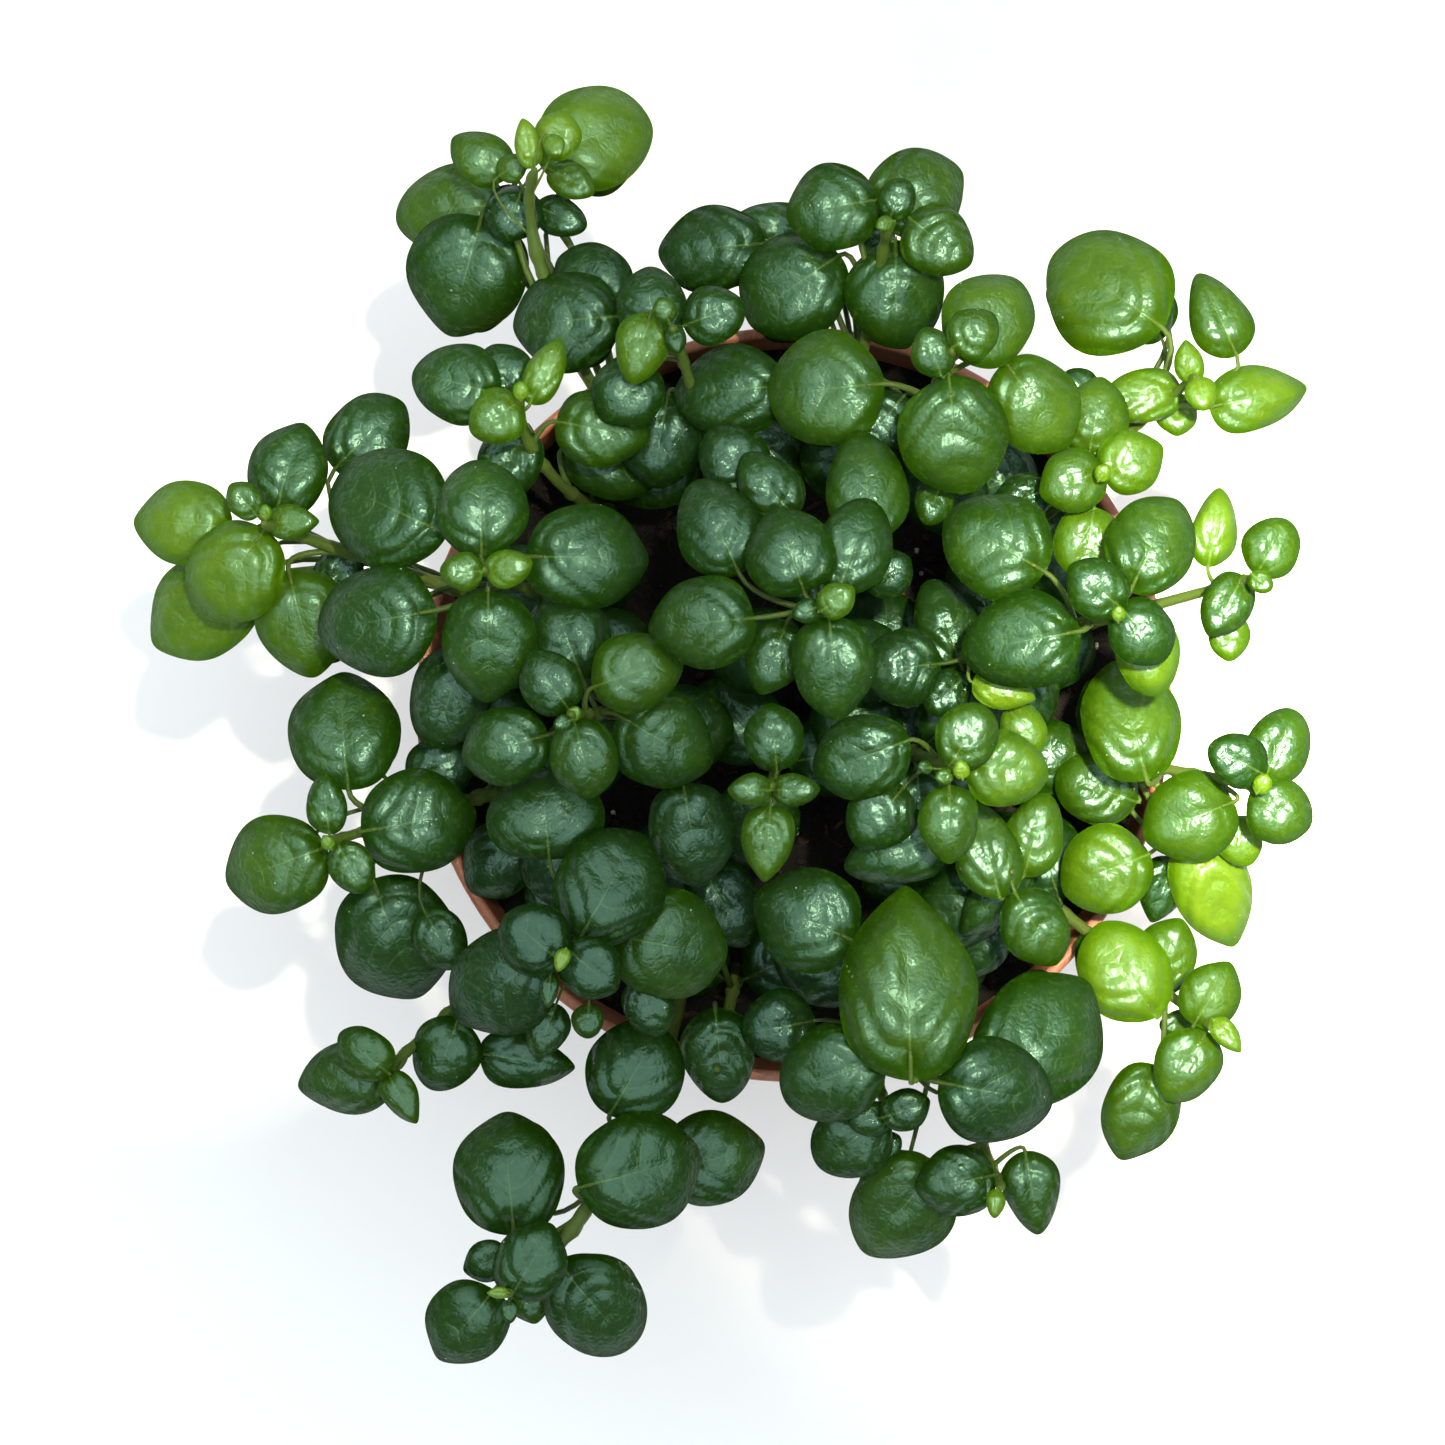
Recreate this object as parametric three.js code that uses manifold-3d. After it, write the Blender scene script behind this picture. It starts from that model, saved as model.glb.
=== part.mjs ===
// A small-leaved foliage plant in a terracotta-coloured plastic pot.
//
// Millimetres, +Z up. The origin is the centre of the pot's base, on the surface it stands on.
// The plant is a clump of shoots planted in the soil. Each shoot is two nodes: its bare lower
// stem, and its leafy top, in which the leaves are joined to the upper stem by their stalks.
// Leaves are domed like small umbrellas. They are packed from the top of the plant downwards:
// each leaf sinks until it clears every higher leaf that it lies under.

import * as THREE from "three";
import * as BufferGeometryUtils from "three/addons/utils/BufferGeometryUtils.js";
import Module from "manifold-3d";

const wasm = await Module();
wasm.setup();

// Pot
const POT_HEIGHT = 125;
const POT_BASE_RADIUS = 49;
const POT_RIM_RADIUS = 71;
const POT_SHOULDER_RADIUS = 65.6;
const POT_WALL = 2.1;
const RIM_BAND_HEIGHT = 23;
const RIM_BAND_STEP = 2.8;
const RIM_LIP = 1.2;
const POT_FLOOR = 3;
const POT_SIDES = 36;

// Soil and what lies on it
const SOIL_EDGE_HEIGHT = 111;
const SOIL_CROWN = 2.5;
const SOIL_BUMP = 0.9;
const GAP = 0.35;
const LYING_GAP = 0.8;
const PEBBLE = { x: 46, y: -29, length: 8, width: 6.5, height: 4.5, bearing: 30 };
const BARK_CHIP = { x: 45, y: 1, length: 9, width: 5, height: 3, bearing: 70 };
const FALLEN_LEAF = { x: 43.5, y: -40, length: 13, width: 7, bearing: 305 };

// Shoots
const ROOT_SHARE = 0.72;
const ROOT_RADIUS = 50;
const PLANTING_DEPTH = 13;
const STEM_RADIUS = 1.4;
const STEM_SIDES = 4;
const STEM_SHARE_UP = 0.9;
const LEAVE_RUN = 0.05;
const TIP_RUN_IN = 0.12;
const TIP_DIP = 22;
const STEM_SEGMENTS = 11;
const LOWEST_SEGMENT = 4;
const NODE_DROP_SHARE = 0.15;
const TIP_CLEAR_SHARE = 0.25;
const NODE_ABOVE_COST = 2;

// Leaves
const PAIR_DROP = 2.2;
const DOME_SHARE = 0.23;
const DOME_POWER = 2.6;
const LEAF_THICKNESS = 0.9;
const LEAF_CLEARANCE = 1.6;
const TAPER_LEAST = 0.08;
const TAPER_MOST = 0.3;
const TIP_POINT = 0.25;
const YOUNG_RISE = 0.4;
const RISE_LOSS = 0.032;
const RISE_LEAST = -0.4;
const DROOP_RATE = 0.0018;
const RING_SHARE = 0.6;
const RIM_POINTS = 8;
const PLAIN_RIM_POINTS = 6;
const STALK_RADIUS = 0.75;
const STALK_SIDES = 3;
const STALK_SHARE = 0.8;
const SMALLEST_LEAF = 6;
const PLAIN_LEAF_BELOW = 19;
const UNDER_LEAF_FROM = 20;
const UNDER_RADIUS_FROM = 55;
const UNDER_SCALE = 0.8;
const UNDER_DROP = 9;
const UNDER_SHIFT = 2;
const UNDER_TURN = 25;
const LOW_COUNT = 3;
const LOW_SEGMENT = 5;
const LOW_TURN = 47;
const LOW_LENGTH = 18;
const LOW_WIDTH = 16;
const LOW_STALK = 2.5;
const LOW_LIFT = 2;
const LOW_RADIUS = 57;
const LOWEST_LEAF = 115;

// One shoot a row: the tip [x, y, z] and any bow of its stem, then the leaves from the youngest
// down, each as [x, y, length, width, bearing]. The middle of the blade is at x, y, and the
// bearing, in degrees from +X, points from its base to its point.
const SHOOTS = [
  [[-48, 99, 155, 11], [
    [-44.5, 103.3, 4.5, 4, 300], [-49.5, 104, 9.5, 5, 100], [-44, 105.5, 9.5, 9, 70],
    [-42.5, 71.2, 20, 19, 185], [-37.5, 79, 16, 14, 140], [-52.5, 99.8, 6, 5.5, 30],
    [-58.5, 102, 13, 10, 150], [-41.5, 97.5, 9.5, 7, 330], [-52.5, 91.5, 11, 11, 250],
    [-43.5, 91, 10.5, 7.5, 335], [-37.3, 106.3, 22.5, 20, 20], [-61.4, 80.6, 23, 23, 255],
    [-64.5, 93, 21.5, 17, 185],
  ]],
  [[-50.5, 56.5, 166, 7], [
    [-50.5, 57.6, 3.5, 3, 90], [-55, 52.8, 11, 10.5, 215], [-46, 61.5, 13.5, 7, 65],
    [-62.5, 59.3, 17, 15, 165], [-35.8, 50.8, 17.5, 14, 350], [-54, 61, 12, 12, 100],
    [-33.5, 45, 19, 14, 345], [-53, 44.5, 15, 12, 250],
  ]],
  [[-22.5, 69, 170], [
    [-24, 72.3, 5, 4.5, 110], [-22, 67, 5.5, 4, 280], [-28.3, 65.5, 13.5, 10, 255],
    [-15, 71.7, 12, 11, 20], [-26.5, 73.5, 15, 13, 100], [-31, 57.5, 14, 13.5, 230],
    [-25, 49, 18, 16, 260],
  ]],
  [[17, 87.5, 162], [
    [16.5, 88.5, 3.5, 3, 200], [18.8, 93.2, 8.5, 7, 70], [6.8, 91.7, 17, 16.5, 190],
    [26.5, 85.5, 14.5, 13, 320], [22.8, 95, 18.5, 17, 20], [18.7, 75.8, 20, 18.5, 270],
    [-0.5, 77.3, 21, 20, 215], [-15.5, 85, 20, 16, 185], [-4.5, 89.5, 14, 9, 170],
    [15.5, 85, 9, 7, 270],
  ]],
  [[28.5, 64.5, 180], [
    [32.5, 67.8, 10, 9.5, 35], [25, 64.3, 9.5, 8, 110], [29, 49, 21.5, 20.5, 275],
    [35.5, 70.7, 18.5, 17, 50], [5.5, 58, 21.5, 21.5, 185], [44.2, 54.8, 19.5, 16.5, 305],
    [-12, 58, 21, 17, 185], [25.5, 37, 8.5, 7, 250], [16, 52, 13, 11, 230],
  ]],
  [[56.5, 42.5, 168], [
    [56.5, 42.5, 3.5, 3, 60], [51, 41, 12.5, 12, 200], [62, 44.8, 12.5, 12, 25], [55.5, 53, 15, 13, 80],
    [54, 29.5, 14, 13, 260], [52.5, 58, 9, 9, 60], [42, 38, 12, 9, 200],
  ]],
  [[74, 60.5, 158], [
    [75, 57.3, 6.5, 6, 280], [72.8, 63.3, 8, 5.5, 100], [63.8, 57, 16, 10, 190], [86, 57, 19, 12, 12],
    [78.5, 72.3, 17, 11, 115], [58.3, 77, 24.5, 24, 145], [71, 53.8, 8, 8, 270], [65, 74, 14, 12, 120],
  ]],
  [[85.5, 23.5, 150], [
    [86.5, 22.7, 5, 4.5, 320], [88.7, 29.2, 12, 11, 60], [80.2, 18.3, 13, 9.5, 240],
    [78.3, 33, 15, 8.5, 80], [81, 12.5, 9, 8, 265],
  ]],
  [[58.5, 16.5, 178], [
    [59, 16.5, 3, 2.5, 90], [55, 21.3, 12.5, 11, 140], [63.5, 13, 13.5, 12, 310],
    [65.5, 29.5, 19, 16.5, 65], [41.5, 11.5, 22, 18, 190], [37, 29.5, 21, 19.5, 150],
    [65, 9, 16, 12, 280],
  ]],
  [[86, -15, 155], [
    [86.5, -14.8, 4, 3.5, 60], [82, -10.3, 12, 10, 150], [90, -20, 13, 12.5, 325],
    [90, -7.8, 15.5, 12, 65], [62.5, -3, 23, 18.5, 105], [73.5, -21.2, 18, 17, 200],
    [78.5, -35, 22.5, 15, 290], [83, -25.5, 10, 9, 300], [58, -31, 17.5, 17, 200],
    [69, -34.5, 13, 9, 250], [56.5, -15.5, 16, 14, 160], [49, -10, 14, 14, 120],
  ]],
  [[77.5, -60, 148], [
    [80.3, -61.5, 8, 4.5, 310], [77.5, -54, 13.5, 11.5, 60], [73, -67.3, 15, 12.5, 240],
    [64.5, -76.3, 19, 14.5, 250], [61.5, -49.8, 20.5, 17, 125], [69.5, -47, 15, 12, 70],
    [72, -60, 8, 6, 180],
  ]],
  [[29.5, -12, 188], [
    [30, -12, 3.5, 3, 100], [27, -13.2, 3.5, 3, 190], [23.5, -11.5, 3, 2.5, 170],
    [31.3, -5.8, 13, 11.5, 60], [28, -22, 14.5, 11, 270], [38.5, -12, 15.5, 14, 350],
    [12, -9.8, 18.5, 15.5, 200], [15.5, -20.5, 14, 13, 230], [18.5, -27, 20, 13, 200],
  ]],
  [[5, 19, 192], [
    [7.3, 18.8, 7.5, 6.5, 35], [1.8, 16.8, 5.5, 4.5, 200], [6.8, 6.5, 19, 15, 275],
    [-1.2, 27.7, 16.5, 16.5, 110], [-17, 14.8, 19.5, 17, 185], [10.8, 29, 18.5, 14, 70],
    [-14.3, 32.3, 19, 15.5, 115], [-4, 8.5, 14, 11, 250], [13, 40, 21, 15, 95], [-5, 40, 15, 11, 130],
    [-11.5, 45, 14, 13, 130], [17, 24, 10, 9, 30],
  ]],
  [[-4.5, -15, 184], [
    [-8.4, -15.7, 8, 6, 180], [0, -15.7, 9, 6, 0], [-5.2, -25.3, 14, 9.5, 265], [-4, -6, 12.5, 11, 95],
  ]],
  [[-57, 24.5, 180], [
    [-61, 24.2, 8, 7, 180], [-52.5, 24.8, 9, 7, 10], [-57.5, 36, 18, 17, 90],
    [-56.3, 10.8, 20.5, 17.5, 270], [-38.3, 27, 22.5, 19.5, 0], [-77, 15.3, 22.5, 20.5, 190],
    [-75, 36.3, 23.5, 22.5, 155],
  ]],
  [[-41, -2, 184], [
    [-42.5, -3.5, 3.5, 3, 200], [-40.5, -1.8, 3, 2.5, 60], [-45, 4, 13, 11, 125],
    [-38.7, -10, 15, 12.5, 285], [-29, 6, 17.5, 14.5, 20], [-53.3, -7.8, 16.5, 14.5, 195],
    [-24.3, -6.8, 19.5, 18, 330], [-42, 12.5, 18, 16, 110], [-64, 1, 20, 15, 250],
    [-19, -24, 19.5, 16, 280],
  ]],
  [[-43, -47, 178], [
    [-42.8, -46.8, 4.5, 2.8, 250], [-48, -43, 14, 13.5, 140], [-37.5, -48.5, 12.5, 11.5, 320],
    [-45.2, -52.5, 6.5, 3.5, 265], [-34, -33.3, 22.5, 20.5, 60], [-46, -20.5, 17, 22, 95],
    [-54.3, -51.8, 21, 19.5, 215], [-23, -44.5, 21.5, 20.5, 350], [-38.3, -58.5, 6.5, 6, 265],
    [-27, -56, 12, 9.5, 290], [-46, -60.5, 11, 8, 250],
  ]],
  [[-86.5, -25.5, 154], [
    [-86.5, -25.6, 3, 2.5, 120], [-86.8, -18.3, 11.5, 7.5, 95], [-82.2, -30.3, 10.5, 8.5, 300],
    [-70, -21.8, 21.5, 19.5, 10], [-96.7, -30, 20, 18.5, 200], [-84, -5, 22, 21, 95],
    [-74.7, -44, 24, 23, 290], [-66, -12, 14, 12, 30], [-66, -44, 13, 10, 300], [-55, -29, 17, 14, 230],
  ]],
  [[-98.5, 33.5, 155], [
    [-98, 35.5, 3, 2.5, 90], [-102, 37.8, 8, 6.5, 130], [-93, 33.8, 9.5, 6.5, 0],
    [-94, 43.8, 17.5, 15, 75], [-104.3, 24.3, 20, 18.5, 235], [-114, 33.8, 19, 16, 175],
    [-91.7, 15.3, 20.5, 17.5, 285], [-111.3, 17.7, 22, 19, 215], [-79.5, 50.3, 18, 15, 45],
    [-85, 25, 12, 9, 60],
  ]],
  [[-76.5, -68.5, 150], [
    [-79.8, -64.7, 12, 9.5, 140], [-73, -73, 11, 6.5, 300], [-83.3, -69.5, 18.5, 14, 190],
    [-65, -65.2, 14.5, 13, 250], [-50, -66.5, 18, 10.5, 350],
  ]],
  [[-54.5, -109.5, 153, 11], [
    [-55, -109, 4, 2.2, 180], [-48.8, -103.3, 15.5, 13.5, 60], [-53, -112.7, 4.5, 3.5, 270],
    [-28.8, -86.8, 23.5, 22, 15], [-29.5, -68, 19.5, 18.5, 60], [-61.3, -115.5, 17, 15.5, 230],
    [-37, -112.5, 21.5, 18.5, 310], [-53.3, -87.7, 23, 21, 95], [-57.5, -104.2, 9, 8, 200],
    [-49.5, -111.5, 9, 8, 280], [-15, -85, 19, 18, 15],
  ]],
  [[-14.5, -68, 143], [
    [-14, -65.5, 18, 14, 275], [-13, -37.5, 17, 14, 300],
  ]],
  [[38.5, -90, 148], [
    [37.3, -92.8, 5.5, 3.5, 265], [30, -88.8, 15, 13.5, 190], [44.3, -91, 16, 10.5, 280],
    [20, -94, 22, 19.5, 230],
  ]],
  [[17, -76, 154], [
    [20.5, -75, 9.5, 8, 20], [14, -77, 8.5, 6.5, 190], [10.5, -81, 16, 15, 220], [18, -82, 5, 4, 270],
    [-3, -60, 14, 14, 190],
  ]],
  [[22, -69, 176], [
    [20.5, -51, 35.5, 25.5, 92], [36.8, -71.2, 21.5, 19.5, 350], [6.5, -68.3, 20, 17.5, 200],
    [45.5, -61.5, 27, 23.5, 50], [2, -39.5, 20, 19.5, 155],
  ]],
  [[40, -31, 160], [
    [44.5, -41.5, 15.5, 12.5, 300], [35.5, -27, 18, 12, 105], [44.5, -24, 16, 11, 75],
    [37, -36, 18, 10, 230], [31, -38, 19, 15, 215], [35.5, -44.5, 14, 10, 250],
  ]],
  [[33, 9, 160], [
    [38.5, 2.5, 12, 7, 345], [19.5, 6.8, 15, 14.5, 185], [42.5, -4.5, 10, 8, 310],
    [28, 15, 18, 12, 110], [28, 2, 10, 9, 220],
  ]],
];

// ---- solids ---------------------------------------------------------------------------------

// A closed three.js geometry as a manifold solid.
function solid(geometry) {
  const bare = geometry.index ? geometry.clone() : geometry;
  bare.deleteAttribute("normal");
  bare.deleteAttribute("uv");
  const merged = BufferGeometryUtils.mergeVertices(bare, 1e-4);
  return new wasm.Manifold(new wasm.Mesh({
    numProp: 3,
    vertProperties: new Float32Array(merged.attributes.position.array),
    triVerts: new Uint32Array(merged.index.array),
  }));
}

// A closed three.js geometry from corner points [x, y, z] and triangles of their indices.
function meshOf(points, triangles) {
  const geometry = new THREE.BufferGeometry();
  geometry.setAttribute("position", new THREE.Float32BufferAttribute(points.flat(), 3));
  geometry.setIndex(triangles.flat());
  return geometry;
}

// The largest connected shell of a solid, so that a cut leaves no loose crumb behind.
function largestPiece(shape) {
  const mesh = shape.getMesh();
  const { triVerts, vertProperties, numProp } = mesh;
  const parent = Array.from({ length: vertProperties.length / numProp }, (_, i) => i);
  const find = (i) => {
    while (parent[i] !== i) {
      parent[i] = parent[parent[i]];
      i = parent[i];
    }
    return i;
  };
  for (let t = 0; t < triVerts.length; t += 3) {
    parent[find(triVerts[t + 1])] = find(triVerts[t]);
    parent[find(triVerts[t + 2])] = find(triVerts[t]);
  }
  const shells = new Map();
  for (let t = 0; t < triVerts.length; t += 3) {
    const shell = find(triVerts[t]);
    if (!shells.has(shell)) shells.set(shell, []);
    shells.get(shell).push(triVerts[t], triVerts[t + 1], triVerts[t + 2]);
  }
  const longest = [...shells.values()].reduce((a, b) => (b.length > a.length ? b : a));
  const points = [];
  for (let v = 0; v < vertProperties.length; v += numProp) {
    points.push([vertProperties[v], vertProperties[v + 1], vertProperties[v + 2]]);
  }
  const kept = new Map([...new Set(longest)].map((v, i) => [v, i]));
  return solid(meshOf([...kept.keys()].map((v) => points[v]), [longest.map((v) => kept.get(v))]));
}

function geometryOf(shape) {
  const { triVerts, vertProperties } = shape.getMesh();
  const geometry = new THREE.BufferGeometry();
  geometry.setAttribute("position", new THREE.BufferAttribute(vertProperties, 3));
  geometry.setIndex(new THREE.BufferAttribute(triVerts, 1));
  return geometry;
}

// A round rod of the given radius along points, as an extruded polygon.
function rod(points, radius, sides) {
  const section = new THREE.Shape(
    Array.from({ length: sides }, (_, i) => {
      const angle = (2 * Math.PI * i) / sides;
      return new THREE.Vector2(radius * Math.cos(angle), radius * Math.sin(angle));
    }),
  );
  const path = points.length > 2
    ? new THREE.CatmullRomCurve3(points)
    : new THREE.LineCurve3(points[0], points[1]);
  const steps = points.length - 1;
  return solid(new THREE.ExtrudeGeometry(section, { steps, extrudePath: path, bevelEnabled: false }));
}

// ---- leaves ---------------------------------------------------------------------------------

function makeLeaf([x, y, length, width, bearing], baseHeight) {
  const turn = THREE.MathUtils.degToRad(bearing);
  const rise = Math.max(YOUNG_RISE - RISE_LOSS * length, RISE_LEAST);
  const slope = [
    rise * Math.cos(turn) - DROOP_RATE * x,
    rise * Math.sin(turn) - DROOP_RATE * y,
  ];
  const toMiddle = (slope[0] * Math.cos(turn) + slope[1] * Math.sin(turn)) * (length / 2);
  return { x, y, length, width, turn, slope, z: baseHeight + toMiddle };
}

// Half-breadth of a blade, as a share of its greatest, at a share along it from -1 to 1.
function bladeShare(leaf, along) {
  const slimness = leaf.length / leaf.width - 1.05;
  const taper = THREE.MathUtils.clamp(0.6 * slimness, TAPER_LEAST, TAPER_MOST);
  return (1 - taper * along) * (1 - TIP_POINT * Math.max(along, 0) ** 4);
}

const domeHeight = (leaf) => (DOME_SHARE * (leaf.length + leaf.width)) / 2;

// A point of a blade: its share of the way out from the middle, and its angle round the blade.
function bladePoint(leaf, share, angle, grow = 0) {
  const along = share * Math.cos(angle);
  const across = share * Math.sin(angle) * bladeShare(leaf, along);
  const u = along * (leaf.length / 2 + grow);
  const v = across * (leaf.width / 2 + grow);
  const dx = u * Math.cos(leaf.turn) - v * Math.sin(leaf.turn);
  const dy = u * Math.sin(leaf.turn) + v * Math.cos(leaf.turn);
  const rimPlane = leaf.z + leaf.slope[0] * dx + leaf.slope[1] * dy;
  const z = rimPlane + domeHeight(leaf) * (1 - share ** DOME_POWER);
  return [leaf.x + dx, leaf.y + dy, z];
}

// Height of a leaf's upper side over a plan point, or null beside the leaf.
function leafTop(leaf, x, y) {
  const dx = x - leaf.x;
  const dy = y - leaf.y;
  const along = (dx * Math.cos(leaf.turn) + dy * Math.sin(leaf.turn)) / (leaf.length / 2);
  const across = (dy * Math.cos(leaf.turn) - dx * Math.sin(leaf.turn)) / (leaf.width / 2);
  const share = Math.hypot(along, across / bladeShare(leaf, along));
  if (Math.abs(along) > 1 || share > 1) return null;
  const rimPlane = leaf.z + leaf.slope[0] * dx + leaf.slope[1] * dy;
  return rimPlane + domeHeight(leaf) * (1 - share ** DOME_POWER);
}

// Plan points spread over a blade, for trying one leaf against another.
function probes(leaf) {
  const points = [];
  for (const share of [0, 0.35, 0.7, 0.97]) {
    for (let angle = 0; angle < 2 * Math.PI - 1e-6; angle += Math.PI / 8) {
      points.push(bladePoint(leaf, share, angle));
    }
  }
  return points;
}

// How far the lower leaf has to sink to pass below the upper one.
function sinkNeeded(upper, lower) {
  const reach = (upper.length + upper.width + lower.length + lower.width) / 4 + 2;
  if (Math.hypot(upper.x - lower.x, upper.y - lower.y) > reach) return 0;
  let sink = 0;
  for (const [x, y] of [...probes(upper), ...probes(lower)]) {
    const above = leafTop(upper, x, y);
    const below = leafTop(lower, x, y);
    if (above !== null && below !== null) sink = Math.max(sink, below + LEAF_CLEARANCE - above);
  }
  return sink;
}

function settle(leaves) {
  const ordered = [...leaves].sort((p, q) => q.z - p.z);
  ordered.forEach((lower, i) => {
    for (const upper of ordered.slice(0, i)) lower.z -= sinkNeeded(upper, lower);
  });
}

// A leaf blade as a thin closed dome. Its upper and lower skins share the points round the rim,
// and each has its own peak. The skins of a large leaf have a ring of points in between.
function bladeSolid(leaf, grow = 0) {
  const points = [];
  const add = ([x, y, z], lift = 0) => points.push([x, y, z + lift]) - 1;
  const circle = (count, share, lift) => Array.from({ length: count }, (_, i) => {
    return add(bladePoint(leaf, share, (2 * Math.PI * i) / count, grow), lift);
  });
  const plain = leaf.length < PLAIN_LEAF_BELOW;
  const rim = circle(plain ? PLAIN_RIM_POINTS : RIM_POINTS, 1);
  const skin = (lift) => {
    const peak = add(bladePoint(leaf, 0, 0), lift);
    if (plain) return rim.map((point, i) => [peak, point, rim[(i + 1) % rim.length]]);
    const ring = circle(RIM_POINTS / 2, RING_SHARE, lift);
    return ring.flatMap((point, i) => {
      const following = ring[(i + 1) % ring.length];
      const [first, middle, last] = [rim[2 * i], rim[2 * i + 1], rim[(2 * i + 2) % rim.length]];
      return [
        [peak, point, following], [point, first, middle],
        [point, middle, following], [following, middle, last],
      ];
    });
  };
  const upper = skin(grow);
  const lower = skin(-LEAF_THICKNESS - grow);
  return solid(meshOf(points, [...upper, ...lower.map((face) => face.toReversed())]));
}

// A leaf with its stalk, a straight rod from inside the base of the blade to a foot in the stem.
function leafSolid(leaf, foot, grow = 0) {
  const [x, y, z] = bladePoint(leaf, STALK_SHARE, Math.PI);
  const head = new THREE.Vector3(x, y, z - LEAF_THICKNESS / 2);
  const stalk = rod([foot, head], STALK_RADIUS + grow, STALK_SIDES);
  return bladeSolid(leaf, grow).add(stalk);
}

// ---- shoots ---------------------------------------------------------------------------------

// Points along a stem, from its planted end to its tip. It is rooted as near below its tip as
// the pot lets it be, rises steeply, clears the pot's rim if it reaches past it, and turns
// upright again at the tip. It may bow sideways, to the left of its run.
function stemPoints([tipX, tipY, tipZ, bow = 0]) {
  const share = Math.min(ROOT_SHARE, ROOT_RADIUS / Math.hypot(tipX, tipY));
  const root = new THREE.Vector3(share * tipX, share * tipY, SOIL_EDGE_HEIGHT - PLANTING_DEPTH);
  const tip = new THREE.Vector3(tipX, tipY, tipZ);
  const run = new THREE.Vector3(tip.x - root.x, tip.y - root.y, 0);
  const sideways = new THREE.Vector3(-run.y, run.x, 0).setLength(bow);
  const leave = root.clone().addScaledVector(run, LEAVE_RUN).add(sideways);
  leave.z += STEM_SHARE_UP * (tip.z - root.z);
  const arrive = tip.clone().addScaledVector(run, -TIP_RUN_IN).add(sideways);
  arrive.z -= TIP_DIP;
  return new THREE.CubicBezierCurve3(root, leave, arrive, tip).getSpacedPoints(STEM_SEGMENTS);
}

// The stem point that a leaf grows from: one near a place a little below its base, and rather
// below that place than above it. It is given with the number of its segment of the stem.
function leafNode(leaf, stem) {
  const [x, y, z] = bladePoint(leaf, 1, Math.PI);
  const wanted = new THREE.Vector3(x, y, z - leaf.length * NODE_DROP_SHARE);
  let best = null;
  const lastNode = stem.at(-1).clone().lerp(stem.at(-2), TIP_CLEAR_SHARE);
  for (let segment = LOWEST_SEGMENT; segment < stem.length - 1; segment += 1) {
    const end = segment === stem.length - 2 ? lastNode : stem[segment + 1];
    const line = new THREE.Line3(stem[segment], end);
    const point = line.closestPointToPoint(wanted, true, new THREE.Vector3());
    const distance = point.distanceTo(wanted) + NODE_ABOVE_COST * Math.max(0, point.z - wanted.z);
    if (!best || distance < best.distance) best = { point, segment, distance };
  }
  return best;
}

function underLeaf([x, y, length, width, bearing]) {
  const inward = UNDER_SHIFT / Math.hypot(x, y);
  return [
    x * (1 - inward), y * (1 - inward),
    length * UNDER_SCALE, width * UNDER_SCALE, bearing + UNDER_TURN,
  ];
}

// Old leaves round the foot of a stem, hiding the soil. The rim of the pot limits them.
function lowLeaves(stem, number) {
  const foot = stem[LOW_SEGMENT];
  const reach = LOW_LENGTH / 2 + LOW_STALK;
  const leaves = [];
  for (let i = 0; i < LOW_COUNT; i += 1) {
    const bearing = (number * LOW_TURN + (i * 360) / LOW_COUNT) % 360;
    const x = foot.x + reach * Math.cos(THREE.MathUtils.degToRad(bearing));
    const y = foot.y + reach * Math.sin(THREE.MathUtils.degToRad(bearing));
    if (Math.hypot(x, y) >= LOW_RADIUS) continue;
    leaves.push(makeLeaf([x, y, LOW_LENGTH, LOW_WIDTH, bearing], foot.z + LOW_LIFT));
  }
  return leaves;
}

function makeShoot([tip, rows], number) {
  const stem = stemPoints(tip);
  const leaves = rows.map((row, i) => makeLeaf(row, tip[2] - PAIR_DROP * i));
  rows.forEach((row, i) => {
    const [x, y, length] = row;
    if (length < UNDER_LEAF_FROM || Math.hypot(x, y) < UNDER_RADIUS_FROM) return;
    leaves.push(makeLeaf(underLeaf(row), tip[2] - PAIR_DROP * i - UNDER_DROP));
  });
  return { stem, leaves: [...leaves, ...lowLeaves(stem, number)] };
}

// Whether a settled leaf is above the soil, or is far enough out to hang beside the pot.
const clearsSoil = ({ x, y, z }) => z > LOWEST_LEAF || Math.hypot(x, y) > LOW_RADIUS;

// The leafy top of a shoot, from the lowest leaf's node up to the tip.
function leafyTop(shoot, grow = 0) {
  const { stem, leaves, first } = shoot;
  let top = rod(stem.slice(first), STEM_RADIUS + grow, STEM_SIDES);
  for (const leaf of leaves.filter(({ length }) => length >= SMALLEST_LEAF)) {
    top = top.add(leafSolid(leaf, leafNode(leaf, stem).point, grow));
  }
  return top;
}

function lowerStem(shoot, grow = 0) {
  const below = shoot.stem.slice(0, shoot.first + 1);
  const last = below[below.length - 1];
  const before = below[below.length - 2];
  const back = before.clone().sub(last).setLength(GAP);
  below[below.length - 1] = last.clone().add(back);
  return rod(below, STEM_RADIUS + grow, STEM_SIDES);
}

// ---- pot and soil ---------------------------------------------------------------------------

function lathe(profile, sides) {
  const points = profile.map(([radius, height]) => new THREE.Vector2(radius, height));
  return new THREE.LatheGeometry(points, sides).rotateX(Math.PI / 2);
}

const bandFoot = POT_HEIGHT - RIM_BAND_HEIGHT;
const bandRadius = POT_SHOULDER_RADIUS + RIM_BAND_STEP;

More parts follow.
